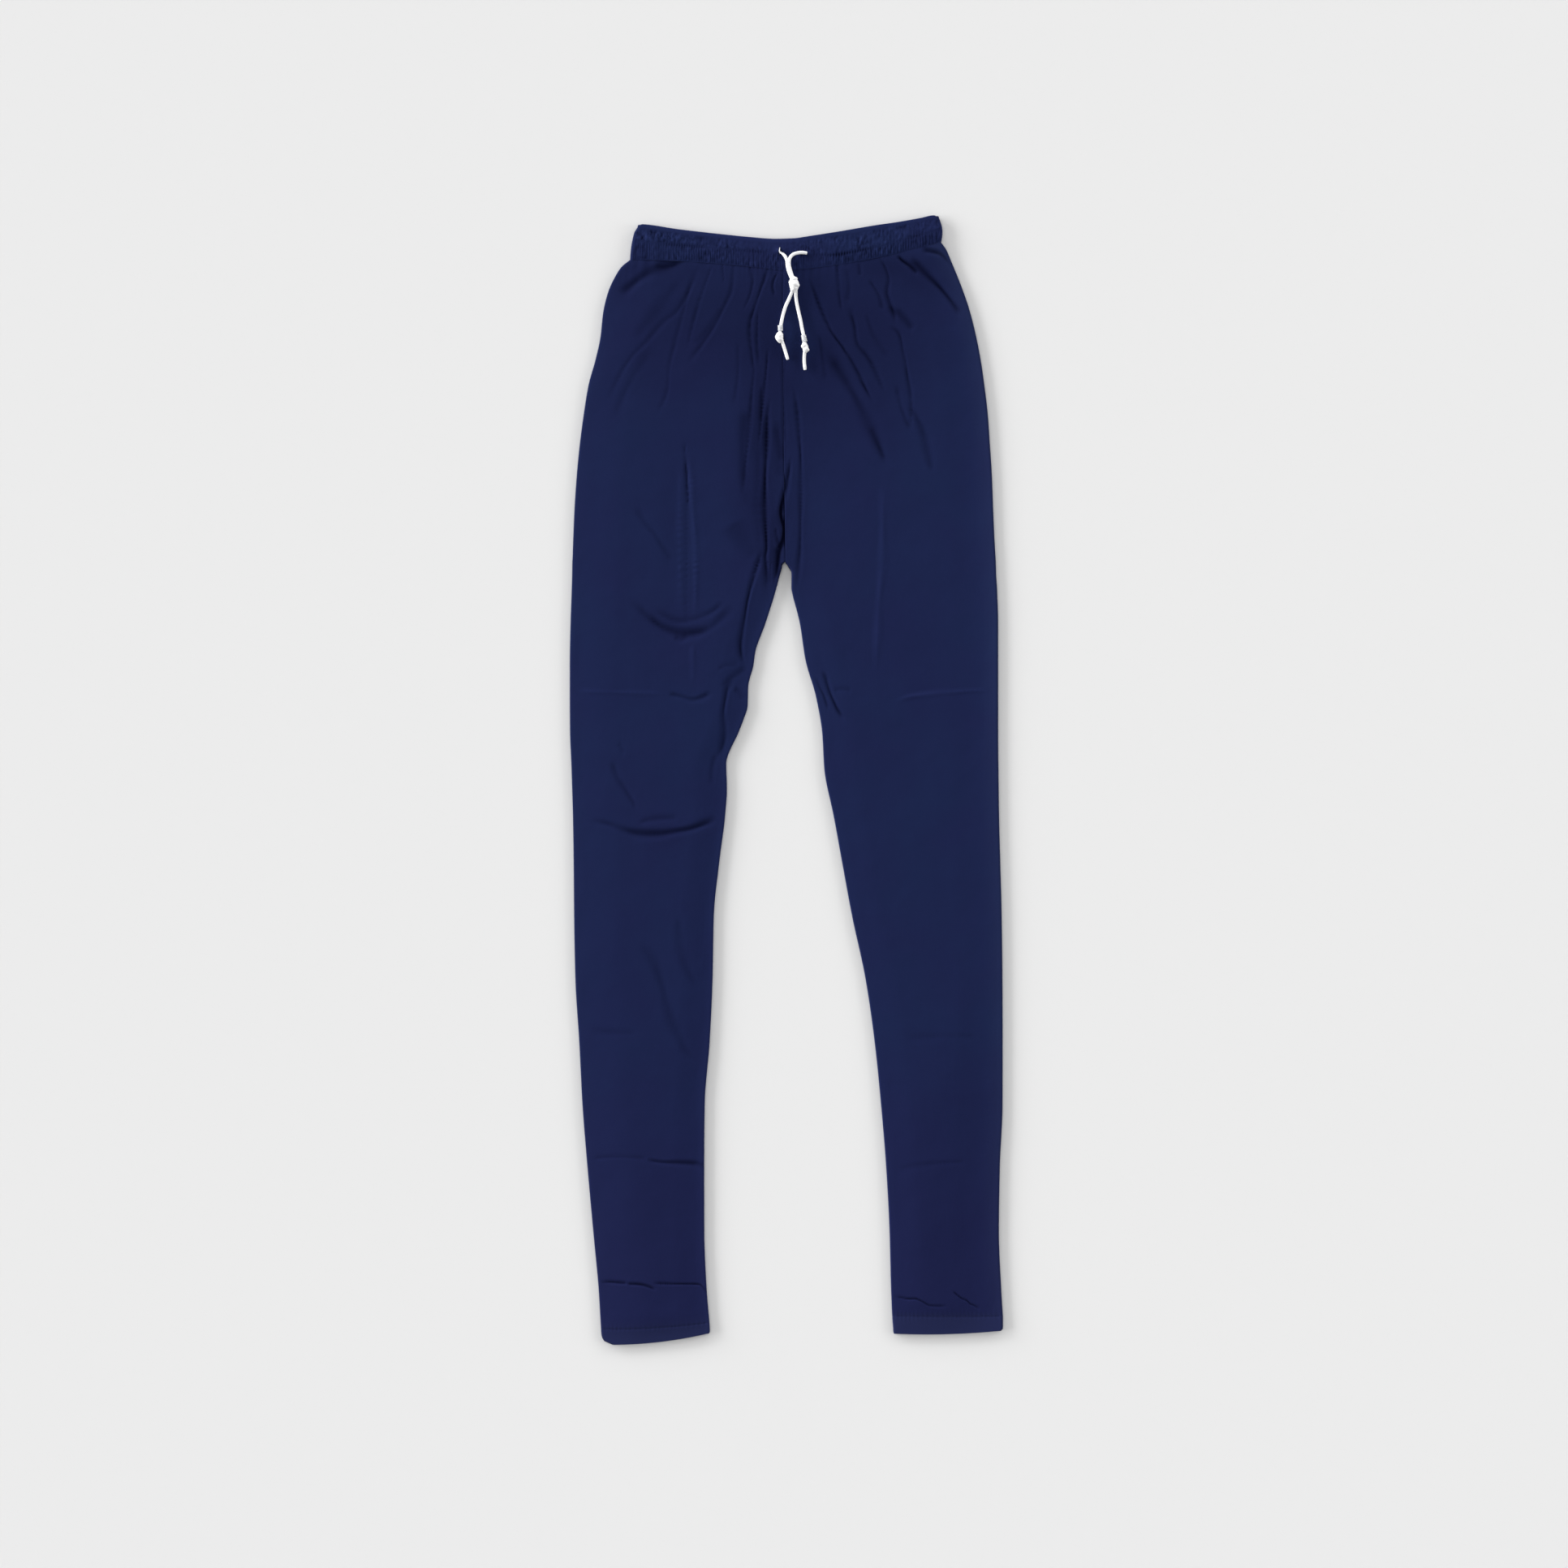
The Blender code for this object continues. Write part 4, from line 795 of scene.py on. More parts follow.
# Camera, light and floor
def set_studio():
    """Camera over the garment, soft light all round and an even floor."""
    scene = bpy.context.scene
    scene.view_settings.view_transform = "Standard"
    camera = bpy.data.objects.new("camera", bpy.data.cameras.new("camera"))
    camera.data.lens = LENS
    camera.data.sensor_width = SENSOR
    height = VIEW_WIDTH * LENS / SENSOR + CLOTH_HEIGHT
    camera.location = (VIEW_CENTRE[0], VIEW_CENTRE[1], height)
    scene.collection.objects.link(camera)
    scene.camera = camera

    world = bpy.data.worlds.new("studio")
    world.use_nodes = True
    sky = world.node_tree.nodes["Background"]
    sky.inputs["Color"].default_value = (1.0, 1.0, 1.0, 1.0)
    sky.inputs["Strength"].default_value = SKY_SHARE * FLOOR_BRIGHTNESS / FLOOR_ALBEDO
    scene.world = world

    for sun in SUNS:
        lamp = bpy.data.objects.new(sun.name, bpy.data.lights.new(sun.name, "SUN"))
        height = math.radians(sun.height)
        bearing = math.radians(sun.bearing)
        lamp.data.energy = math.pi * sun.share * FLOOR_BRIGHTNESS / (FLOOR_ALBEDO * math.sin(height))
        lamp.data.angle = math.radians(sun.spread)
        level = math.cos(height)
        toward = Vector((math.cos(bearing) * level, math.sin(bearing) * level, math.sin(height)))
        lamp.rotation_mode = "QUATERNION"
        lamp.rotation_quaternion = toward.to_track_quat("Z", "Y")
        scene.collection.objects.link(lamp)

    bpy.ops.object.select_all(action="DESELECT")
    bpy.ops.mesh.primitive_plane_add(size=FLOOR_SIZE, location=(0.0, 0.0, -FLOOR_GAP))
    floor = bpy.context.object
    floor.name = "floor"
    bpy.ops.object.transform_apply(location=True, rotation=True, scale=True)
    floor.data.materials.append(pale_floor())


def finish_piece(piece, finish, *nodes, slot=None):
    """Ride and material of a piece, and the solids that it stands for; its slot argument is not used."""
    if piece.name not in bpy.context.scene.collection.objects:
        bpy.context.scene.collection.objects.link(piece)
    piece.data.materials.append(MATERIALS[finish])
    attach(piece, "root")
    if nodes:
        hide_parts(*nodes)
    return piece


# Drawcord
def tube_mesh(bm, route, radii, sides, uv_layer):
    """Sweep a round section along a route, close its ends, and lay its UVs."""
    route = [Vector(p) * MM for p in route]
    ahead = [(route[min(i + 1, len(route) - 1)] - route[max(i - 1, 0)]).normalized()
             for i in range(len(route))]
    across = ahead[0].orthogonal().normalized()
    rings = []
    along = 0.0
    runs = []
    for i, (point, way) in enumerate(zip(route, ahead)):
        across = (across - way * across.dot(way)).normalized()
        up = way.cross(across)
        if i:
            along += (route[i] - route[i - 1]).length
        runs.append(along)
        ring = []
        for k in range(sides):
            angle = FULL_TURN * k / sides
            outward = across * math.cos(angle) + up * math.sin(angle)
            ring.append(bm.verts.new(point + outward * radii[i] * MM))
        rings.append(ring)
    for i in range(len(rings) - 1):
        for k in range(sides):
            n = (k + 1) % sides
            face = bm.faces.new((rings[i][k], rings[i][n], rings[i + 1][n], rings[i + 1][k]))
            for loop, (u, v) in zip(face.loops, ((k, i), (k + 1, i), (k + 1, i + 1), (k, i + 1))):
                loop[uv_layer].uv = (u / sides, runs[v])
    for ring, point in ((rings[0], route[0]), (rings[-1], route[-1])):
        centre = bm.verts.new(point)
        for k in range(sides):
            n = (k + 1) % sides
            face = bm.faces.new((ring[k], ring[n], centre))
            for loop in face.loops:
                loop[uv_layer].uv = (0.0, 0.0)


def swept(name, sweeps, sides):
    """One mesh object of one or more swept tubes."""
    bm = bmesh.new()
    uv_layer = bm.loops.layers.uv.new("cloth")
    for route, radii in sweeps:
        tube_mesh(bm, route, radii, sides, uv_layer)
    bmesh.ops.recalc_face_normals(bm, faces=bm.faces)
    mesh = bpy.data.meshes.new(name)
    bm.to_mesh(mesh)
    bm.free()
    mesh.shade_smooth()
    mesh.set_sharp_from_angle(angle=math.radians(60.0))
    return bpy.data.objects.new(name, mesh)


def soft_radii(route, radius, seed, thin):
    """Radii of a soft cord: a little uneven, thin at the places given, eased at a blunt end."""
    radii = []
    for point in route:
        swell = 1.0 + CORD_SWELL * noise.noise(Vector(point) * CORD_SWELL_RATE + Vector((seed, 0.0, 0.0)))
        for place, reach, less in thin:
            swell -= less * math.exp(-(((point[1] - place) / reach) ** 4))
        radii.append(radius * swell)
    radii[-1] *= END_BLUNT
    radii[-2] *= END_THIN
    radii[0] *= START_THIN
    return radii


def wound_knot(name, core, turns):
    """A pulled-tight knot: its full middle and the turns of cord round it."""
    line = smooth_route([place for place, radius in core], CORE_STEPS)
    places = np.linspace(0.0, len(core) - 1.0, len(line))
    sweeps = [(line, through(np.arange(len(core)), [radius for place, radius in core], places))]
    for turn in turns:
        ring = []
        for i in range(TURN_STEPS + 1):
            share = i / TURN_STEPS
            angle = math.radians(turn.start + TURN_SWEEP * share)
            ring.append((turn.centre[0] + turn.half_x * math.cos(angle),
                         turn.centre[1] + turn.tilt * math.cos(angle) + turn.lean * (share - 0.5),
                         turn.centre[2] + turn.half_z * math.sin(angle)))
        sweeps.append((ring, [turn.radius] * len(ring)))
    return swept(name, sweeps, TURN_SIDES)


def drawcord():
    """Both strands, the front knot, the stoppers and the beads."""
    strands = {}
    for side, route, seed, thin in (
        ("right", RIGHT_ROUTE, 1.0, ((504.8, 3.0, 0.42), (431.2, 3.4, 0.2))),
        ("left", LEFT_ROUTE, 5.0, ((421.2, 3.8, 0.2),)),
    ):
        line = smooth_route(route, ROUTE_STEPS)
        radii = soft_radii(line, CORD_LOOK_RADIUS, seed, thin)
        strand = swept("drawcord_" + side + "_soft", [(line, radii)], CORD_SIDES)
        strands[side] = (finish_piece(strand, "white_cord", "drawcord_" + side), line)

    knot = wound_knot("front_knot_wound", (
        ((6.0, 480.2, 10.6), 1.5), ((6.8, 476.8, 10.8), 3.5), ((7.3, 473.0, 10.9), 4.7),
        ((7.4, 469.4, 10.7), 4.1), ((7.4, 466.3, 10.3), 2.5),
    ), (
        Turn((6.9, 476.9, 10.9), 2.1, 2.6, 0.9, 0.8, 200.0, 1.75),
        Turn((7.4, 473.0, 10.9), 3.2, 3.2, -1.5, 0.6, 20.0, 2.1),
        Turn((7.5, 468.5, 10.6), 2.0, 2.6, 0.8, 0.4, 100.0, 1.85),
    ))
    finish_piece(knot, "white_cord", "front_knot")
    right_stopper = wound_knot("stopper_right_wound", (
        ((-5.8, 427.2, 8.8), 1.8), ((-6.5, 424.6, 9.2), 3.3), ((-6.8, 422.3, 9.3), 3.8),
        ((-6.2, 419.8, 9.2), 2.9), ((-4.9, 417.6, 8.8), 1.7),
    ), (
        Turn((-6.9, 423.7, 9.3), 1.9, 2.0, 0.8, 0.5, 60.0, 1.95),
        Turn((-6.2, 420.7, 9.2), 1.6, 1.9, -0.9, 0.5, 240.0, 1.85),
    ))
    finish_piece(right_stopper, "white_cord", "stopper_knot_right")
    left_stopper = wound_knot("stopper_left_wound", (
        ((17.2, 417.6, 8.6), 1.6), ((17.3, 415.2, 8.9), 2.6), ((18.1, 412.4, 9.0), 2.9),
        ((18.1, 409.8, 8.8), 2.5), ((17.6, 408.0, 8.5), 1.6),
    ), (
        Turn((16.9, 414.5, 9.0), 1.2, 1.7, 0.7, 0.4, 60.0, 1.8),
        Turn((18.9, 411.3, 8.9), 1.2, 1.6, -0.8, 0.4, 240.0, 1.75),
    ))
    finish_piece(left_stopper, "white_cord", "stopper_knot_left")
    thread = swept("cord_loose_thread", [
        (smooth_route(((-6.2, 503.6, 7.4), (-6.6, 505.0, 7.9), (-6.5, 506.8, 7.9), (-6.2, 508.4, 7.6)), 3),
         [0.55, 0.52, 0.5, 0.47, 0.42, 0.38, 0.33, 0.28, 0.2, 0.1]),
    ], 8)
    finish_piece(thread, "white_cord")

    for side, centre, radius, length, lean in (
        ("right", (-5.8, 431.2, 8.7), 2.45, 5.4, 0.05),
        ("left", (16.9, 421.2, 8.7), 2.45, 6.6, 0.2),
    ):
        finish_piece(bead("bead_" + side + "_clear", centre, radius, length, lean),
                                   "clear_bead", "bead_" + side)

    for side, stopper in (("right", right_stopper), ("left", left_stopper)):
        strand, line = strands[side]
        path = [tuple(float(c) * MM for c in point) for point in line]
        length = sum(math.dist(a, b) for a, b in zip(path, path[1:]))


def bead(name, centre, radius, length, lean):
    """A short clear sleeve: a cylinder bored through for the cord, with rolled rims."""
    bpy.ops.object.select_all(action="DESELECT")
    bpy.ops.mesh.primitive_cylinder_add(
        vertices=BEAD_SIDES, radius=radius * MM, depth=length * MM, end_fill_type="NGON",
        location=[c * MM for c in centre], rotation=(math.pi / 2.0, 0.0, lean))
    sleeve = bpy.context.object
    sleeve.name = name
    bpy.ops.object.mode_set(mode="EDIT")
    bpy.ops.mesh.select_mode(type="FACE")
    bpy.ops.mesh.select_all(action="DESELECT")
    bpy.ops.mesh.select_face_by_sides(number=BEAD_SIDES, type="EQUAL", extend=False)
    bpy.ops.mesh.inset(thickness=(radius - BEAD_BORE) * MM)
    bpy.ops.mesh.bridge_edge_loops()
    bpy.ops.mesh.select_mode(type="EDGE")
    bpy.ops.mesh.select_all(action="DESELECT")
    bpy.ops.mesh.edges_select_sharp(sharpness=math.radians(60.0))
    bpy.ops.mesh.bevel(offset=BEAD_RIM * (radius - BEAD_BORE) * MM, segments=3, affect="EDGES")
    bpy.ops.mesh.select_all(action="SELECT")
    bpy.ops.mesh.normals_make_consistent(inside=False)
    bpy.ops.object.mode_set(mode="OBJECT")
    bpy.ops.object.transform_apply(location=True, rotation=True, scale=True)
    bpy.ops.object.shade_smooth_by_angle(angle=math.radians(50.0))
    return sleeve


# Relief of the cloth
def crease_relief(creases, x, y):
    """Height, and the painted shade and light, that a set of creases gives to the cloth at its places."""
    height = np.zeros(x.shape)
    tone = np.zeros(x.shape)
    for index, crease in enumerate(creases):
        line = smooth_route(crease.points, CREASE_STEPS)
        reach = crease.width * CREASE_REACH
        low, high = line.min(axis=0) - reach, line.max(axis=0) + reach
        near = (x > low[0]) & (x < high[0]) & (y > low[1]) & (y < high[1])
        if not near.any():
            continue
        px, py = x[near], y[near]
        way = np.gradient(line, axis=0)
        way /= np.linalg.norm(way, axis=1)[:, None]
        run = np.concatenate(([0.0], np.cumsum(np.linalg.norm(np.diff(line, axis=0), axis=1))))
        away = np.hypot(px[:, None] - line[None, :, 0], py[:, None] - line[None, :, 1])
        nearest = away.argmin(axis=1)
        distance = away[np.arange(len(px)), nearest]
        side = (way[nearest, 0] * (py - line[nearest, 1]) - way[nearest, 1] * (px - line[nearest, 0]))
        across = np.minimum(distance, np.abs(side)) * np.sign(side)
        t = run[nearest] / run[-1]
        ends = ease(np.minimum(t, 1.0 - t) / CREASE_TAPER)
        beyond = np.sqrt(np.maximum(distance ** 2 - across ** 2, 0.0))
        ends = ends * hump(beyond, crease.width)
        uneven = 1.0 + CREASE_UNEVEN * np.sin(run[nearest] / 7.3 + index * 2.1)
        width = crease.width * (1.0 + WIDTH_UNEVEN * np.sin(run[nearest] / 11.0 + index * 1.3))
        core = hump(across, width)
        lips = hump(np.abs(across) - LIP_PLACE * width, width)
        step = (across / width) * hump(across, LEAN_SPREAD * width)
        height[near] += CREASE_HEIGHT * ends * uneven * (
            -crease.depth * core + LIP_SHARE * crease.depth * lips + crease.lean * step)
        # Painted shade along the trough, painted light on the lips and on ridges
        tone[near] += ends * uneven * crease.depth * (LIP_PAINTED_LIGHT * lips - CREASE_PAINTED_SHADE * core)
    return height, tone


def broad_painted_shade(x, y):
    """Painted shade and light over whole areas of the front."""
    tone = np.zeros(np.broadcast(x, y).shape)
    for shade in SHADES:
        tone += shade.amount * hump(x - shade.x, shade.half_x) * hump(y - shade.y, shade.half_y)
    return tone


def ripple(x, y, size, seed):
    """Soft unevenness with a wavelength of about twice its size, from -1 to 1."""
    flat = [noise.noise(Vector((a / size, b / size, seed))) for a, b in zip(x.ravel(), y.ravel())]
    return np.array(flat).reshape(x.shape)


def pattern(kind, x, y):
    """A ripple of one of the casing's patterns."""
    return ripple(x * kind.by_x, y * kind.by_y, kind.size, kind.seed)


def shell(name, outer, inner, uv, looks, ring, row_step):
    """Close two skins of points into one thin cloth shell."""
    rows, columns = outer.shape[:2]
    inner_rows = list(range(0, rows, row_step))
    verts = [outer.reshape(-1, 3), inner[inner_rows].reshape(-1, 3)]
    base = rows * columns
    last = columns if ring else columns - 1
    faces = []
    for r in range(rows - 1):
        for c in range(last):
            n = (c + 1) % columns
            faces.append((r * columns + c, r * columns + n, (r + 1) * columns + n, (r + 1) * columns + c))
    for r in range(len(inner_rows) - 1):
        for c in range(last):
            n = (c + 1) % columns
            a = base + r * columns
            b = a + columns
            faces.append((a + c, b + c, b + n, a + n))
    ends = ((0, base), ((rows - 1) * columns, base + (len(inner_rows) - 1) * columns))
    for c in range(last):
        n = (c + 1) % columns
        faces.append((ends[0][0] + c, ends[0][1] + c, ends[0][1] + n, ends[0][0] + n))
        faces.append((ends[1][0] + c, ends[1][0] + n, ends[1][1] + n, ends[1][1] + c))
    if not ring:
        for c in (0, columns - 1):
            for r in range(len(inner_rows) - 1):
                edge = [k * columns + c for k in range(inner_rows[r], inner_rows[r + 1] + 1)]
                faces.append((*edge, base + (r + 1) * columns + c, base + r * columns + c))
    mesh = bpy.data.meshes.new(name)
    mesh.from_pydata(np.concatenate(verts) * MM, [], faces)
    uv_all = np.concatenate((uv.reshape(-1, 2), uv[inner_rows].reshape(-1, 2))) * MM
    bm = bmesh.new()
    bm.from_mesh(mesh)
    bmesh.ops.recalc_face_normals(bm, faces=bm.faces)
    bm.to_mesh(mesh)
    bm.free()
    corner = np.empty(len(mesh.loops), dtype=np.int32)
    mesh.loops.foreach_get("vertex_index", corner)
    layer = mesh.uv_layers.new(name="cloth")
    layer.data.foreach_set("uv", uv_all[corner].ravel())
    for word, values in looks.items():
        attribute = mesh.attributes.new(word, "FLOAT", "POINT")
        both = np.concatenate((values.ravel(), values[inner_rows].ravel()))
        attribute.data.foreach_set("value", both.astype(np.float32))
    mesh.shade_smooth()
    mesh.set_sharp_from_angle(angle=math.radians(70.0))
    return bpy.data.objects.new(name, mesh)


def along_row(row, x):
    """Y of a row where it crosses x, between its inner and its outer end."""
    fraction = np.clip((x - row.x_in) / (row.x_out - row.x_in), 0.0, 1.0)
    straight = row.y_in + (row.y_out - row.y_in) * fraction
    return straight + row.bow * 4.0 * fraction * (1.0 - fraction)


def seam_line(x):
    """Y of the seam between the legs and the casing."""
    return np.where(x < RIGHT_LEG[0].x_in, along_row(RIGHT_LEG[0], x), along_row(LEFT_LEG[0], x))


def panel_rows(stations):
    """Stations at a fine pitch, closest near the waist, as columns of numbers."""
    index = np.arange(len(stations))
    table = [[getattr(station, name) for station in stations] for name in Station._fields]
    dense = np.linspace(0.0, len(stations) - 1.0, DENSE_STATIONS)
    y = (through(index, table[0], dense) + through(index, table[2], dense)) / 2.0
    pitch = WAIST_PITCH + (LEG_PITCH - WAIST_PITCH) * ease((PITCH_CHANGE[0] - y) / PITCH_CHANGE[1])
    for place, reach in FINE_ROWS:
        pitch = pitch + (FINE_PITCH - pitch) * hump(y - place, reach)
    count = np.concatenate(([0.0], np.cumsum(-np.diff(y) / pitch[1:])))
    rows = int(round(count[-1] / INNER_STEP)) * INNER_STEP
    at = np.interp(np.linspace(0.0, count[-1], rows + 1), count, dense)
    return Station(*[through(index, column, at)[:, None] for column in table])


def lowest_near(values, rows, columns):
    """Least value in a small block round each place."""
    low = values.copy()
    for shift in range(1, rows + 1):
        low[shift:] = np.minimum(low[shift:], values[:-shift])
        low[:-shift] = np.minimum(low[:-shift], values[shift:])
    held = low.copy()
    for shift in range(1, columns + 1):
        low[:, shift:] = np.minimum(low[:, shift:], held[:, :-shift])
        low[:, :-shift] = np.minimum(low[:, :-shift], held[:, shift:])
    return low


def gathers(x, below):
    """Small gathers where the cloth leaves the casing."""
    pitch = 6.2 + 1.6 * np.sin(x / 31.0)
    wander = waves(x, pitch, 1.4, 17.0) + 0.05 * below
    size = 0.16 + 0.12 * np.sin(x / 23.0 + 1.0) + 0.08 * np.sin(x / 7.1)
    length = 8.0 + 5.0 * np.sin(x / 13.0)
    return size * np.cos(wander) * np.exp(-below / length)


def one_stitch():
    """One short stitch: a six-sided bar of thread with its ends drawn in."""
    bpy.ops.object.select_all(action="DESELECT")
    bpy.ops.mesh.primitive_cylinder_add(vertices=6, radius=THREAD / 2.0 * MM, depth=STITCH_LENGTH * MM,
                                        rotation=(0.0, math.pi / 2.0, 0.0))
    bpy.ops.object.mode_set(mode="EDIT")
    bpy.ops.mesh.select_mode(type="FACE")
    bpy.ops.mesh.select_all(action="DESELECT")
    bpy.ops.mesh.select_face_by_sides(number=6, type="EQUAL", extend=False)
    bpy.ops.mesh.inset(thickness=0.3 * THREAD * MM, depth=0.3 * THREAD * MM)
    bpy.ops.object.mode_set(mode="OBJECT")
    bpy.ops.object.transform_apply(location=True, rotation=True, scale=True)
    bpy.ops.object.shade_smooth_by_angle(angle=math.radians(70.0))
    return bpy.context.object


def hem_stitches(name, x, y, top):
    """The row of stitches that holds a hem, in front and behind."""
    stitch = one_stitch()
    order = np.argsort(x)
    x, y, top = x[order], y[order], top[order]
    copies = []
    for place in np.arange(x[0] + STITCH_PITCH, x[-1] - STITCH_LENGTH, STITCH_PITCH):
        here = np.interp(place, x, y)
        lean = math.atan2(np.interp(place + 1.0, x, y) - here, 1.0)
        for height in (np.interp(place, x, top) + STITCH_SINK, STITCH_SINK):
            copy = bpy.data.objects.new(name, stitch.data.copy())
            copy.location = (place * MM, here * MM, height * MM)
            copy.rotation_euler = (0.0, 0.0, lean)
            bpy.context.scene.collection.objects.link(copy)
            copies.append(copy)
    bpy.data.objects.remove(stitch)
    bpy.ops.object.select_all(action="DESELECT")
    for copy in copies:
        copy.select_set(True)
    bpy.context.view_layer.objects.active = copies[0]
    bpy.ops.object.join()
    bpy.ops.object.transform_apply(location=True, rotation=True, scale=True)
    row = bpy.context.object
    row.name = name
    finish_piece(row, "navy_thread", slot="navy_jersey")


def leg_front(row, side, x, y, from_outer, from_inner, open_inside, hem_near, edge_top, rise):
    """Height and tone of a leg's front, with its creases, gathers and hem, and their painted shade and
    light.
    """
    inside = open_inside + (1.0 - open_inside) * ease(from_inner / INNER_RISE_RUN)
    fold_inside = open_inside + (1.0 - open_inside) * ease(from_inner / FOLD_FADE_RUN)
    hem_fade = ease(hem_near / HEM_RISE_RUN)
    fold_edges = ease(from_outer / FOLD_FADE_RUN) * fold_inside * np.maximum(hem_fade, HEM_FOLD_SHARE)
    body = rise * ease(from_outer / OUTER_RISE_RUN) * inside
    creases, tone = crease_relief(FRONT_CREASES, x, y)
    soft = sum(kind.height * ripple(x, y, kind.size, kind.seed) for kind in FRONT_RIPPLES)
    below = seam_line(x) - y
    small = gathers(x, below) - WAIST_DIP * hump(below, WAIST_DIP_RUN)
    top = edge_top + body + (creases + soft + small) * fold_edges

    from_row = hem_near - HEM_DEPTH
    stitched = hump(from_row, STITCH_GROOVE_RUN)
    puckered = np.sin(waves(x, HEM_PUCKER_PITCH, HEM_PUCKER_SWING, HEM_PUCKER_SWING_RUN))
    pucker = HEM_PUCKER * puckered * hump(from_row, HEM_PUCKER_RUN)
    turned_up = HEM_LIFT * ease(-from_row / HEM_LIFT_RUN)
    top = np.maximum(top - STITCH_GROOVE * stitched + pucker + turned_up, LOWEST_TOP)

    # Painted shade and light of the creases and of whole areas
    tone = tone * np.maximum(fold_edges, ease(from_outer / TONE_EDGE_RUN) * hem_fade) + broad_painted_shade(x, y)
    tone = tone - STITCH_DARK * stitched + HEM_PALE * ease(-from_row / HEM_TONE_RUN[side])
    # Painted light along the rounded outer edge and the turned inner edge
    for edge_light, reach in OUTER_EDGE_PAINTED_LIGHT:
        tone = tone + edge_light * (1.0 - ease(from_outer / reach))
    tone = tone + INNER_EDGE_PAINTED_LIGHT * (1.0 - open_inside) * (1.0 - ease(from_inner / INNER_EDGE_PAINTED_LIGHT_RUN))
    tone = tone - SEAM_DARK * (1.0 - row.turned) * (1.0 - ease(from_inner / SEAM_DARK_RUN))
    # Painted shade and light that follow the small gathers
    tone = tone - WAIST_DARK * hump(below, WAIST_DARK_RUN) + GATHER_PAINTED_SHADE * gathers(x, below)
    return top, np.broadcast_to(np.clip(tone, TONE_LEAST, TONE_MOST), x.shape)


def leg_pale_grey(side, from_outer, hem_near):
    """How much paler and greyer the cloth of a leg is, all round it."""
    hem_pale_grey = ease((HEM_PALE_GREY_TOP[side] - hem_near) / HEM_PALE_GREY_RUN[side])
    edge_pale_grey = EDGE_PALE_GREY[side] * (1.0 - hem_pale_grey) * (1.0 - ease(from_outer / EDGE_PALE_GREY_RUN))
    front = hem_pale_grey + edge_pale_grey
    edge = np.zeros((len(hem_near), WRAP_STEPS))
    return np.concatenate((
        edge + front[:, :1], front, np.repeat(front[:, -1:], OUTER_FOLD_STEPS - 1, axis=1),
        np.repeat(hem_pale_grey, BACK_COLUMNS + 1, axis=1), edge), axis=1)


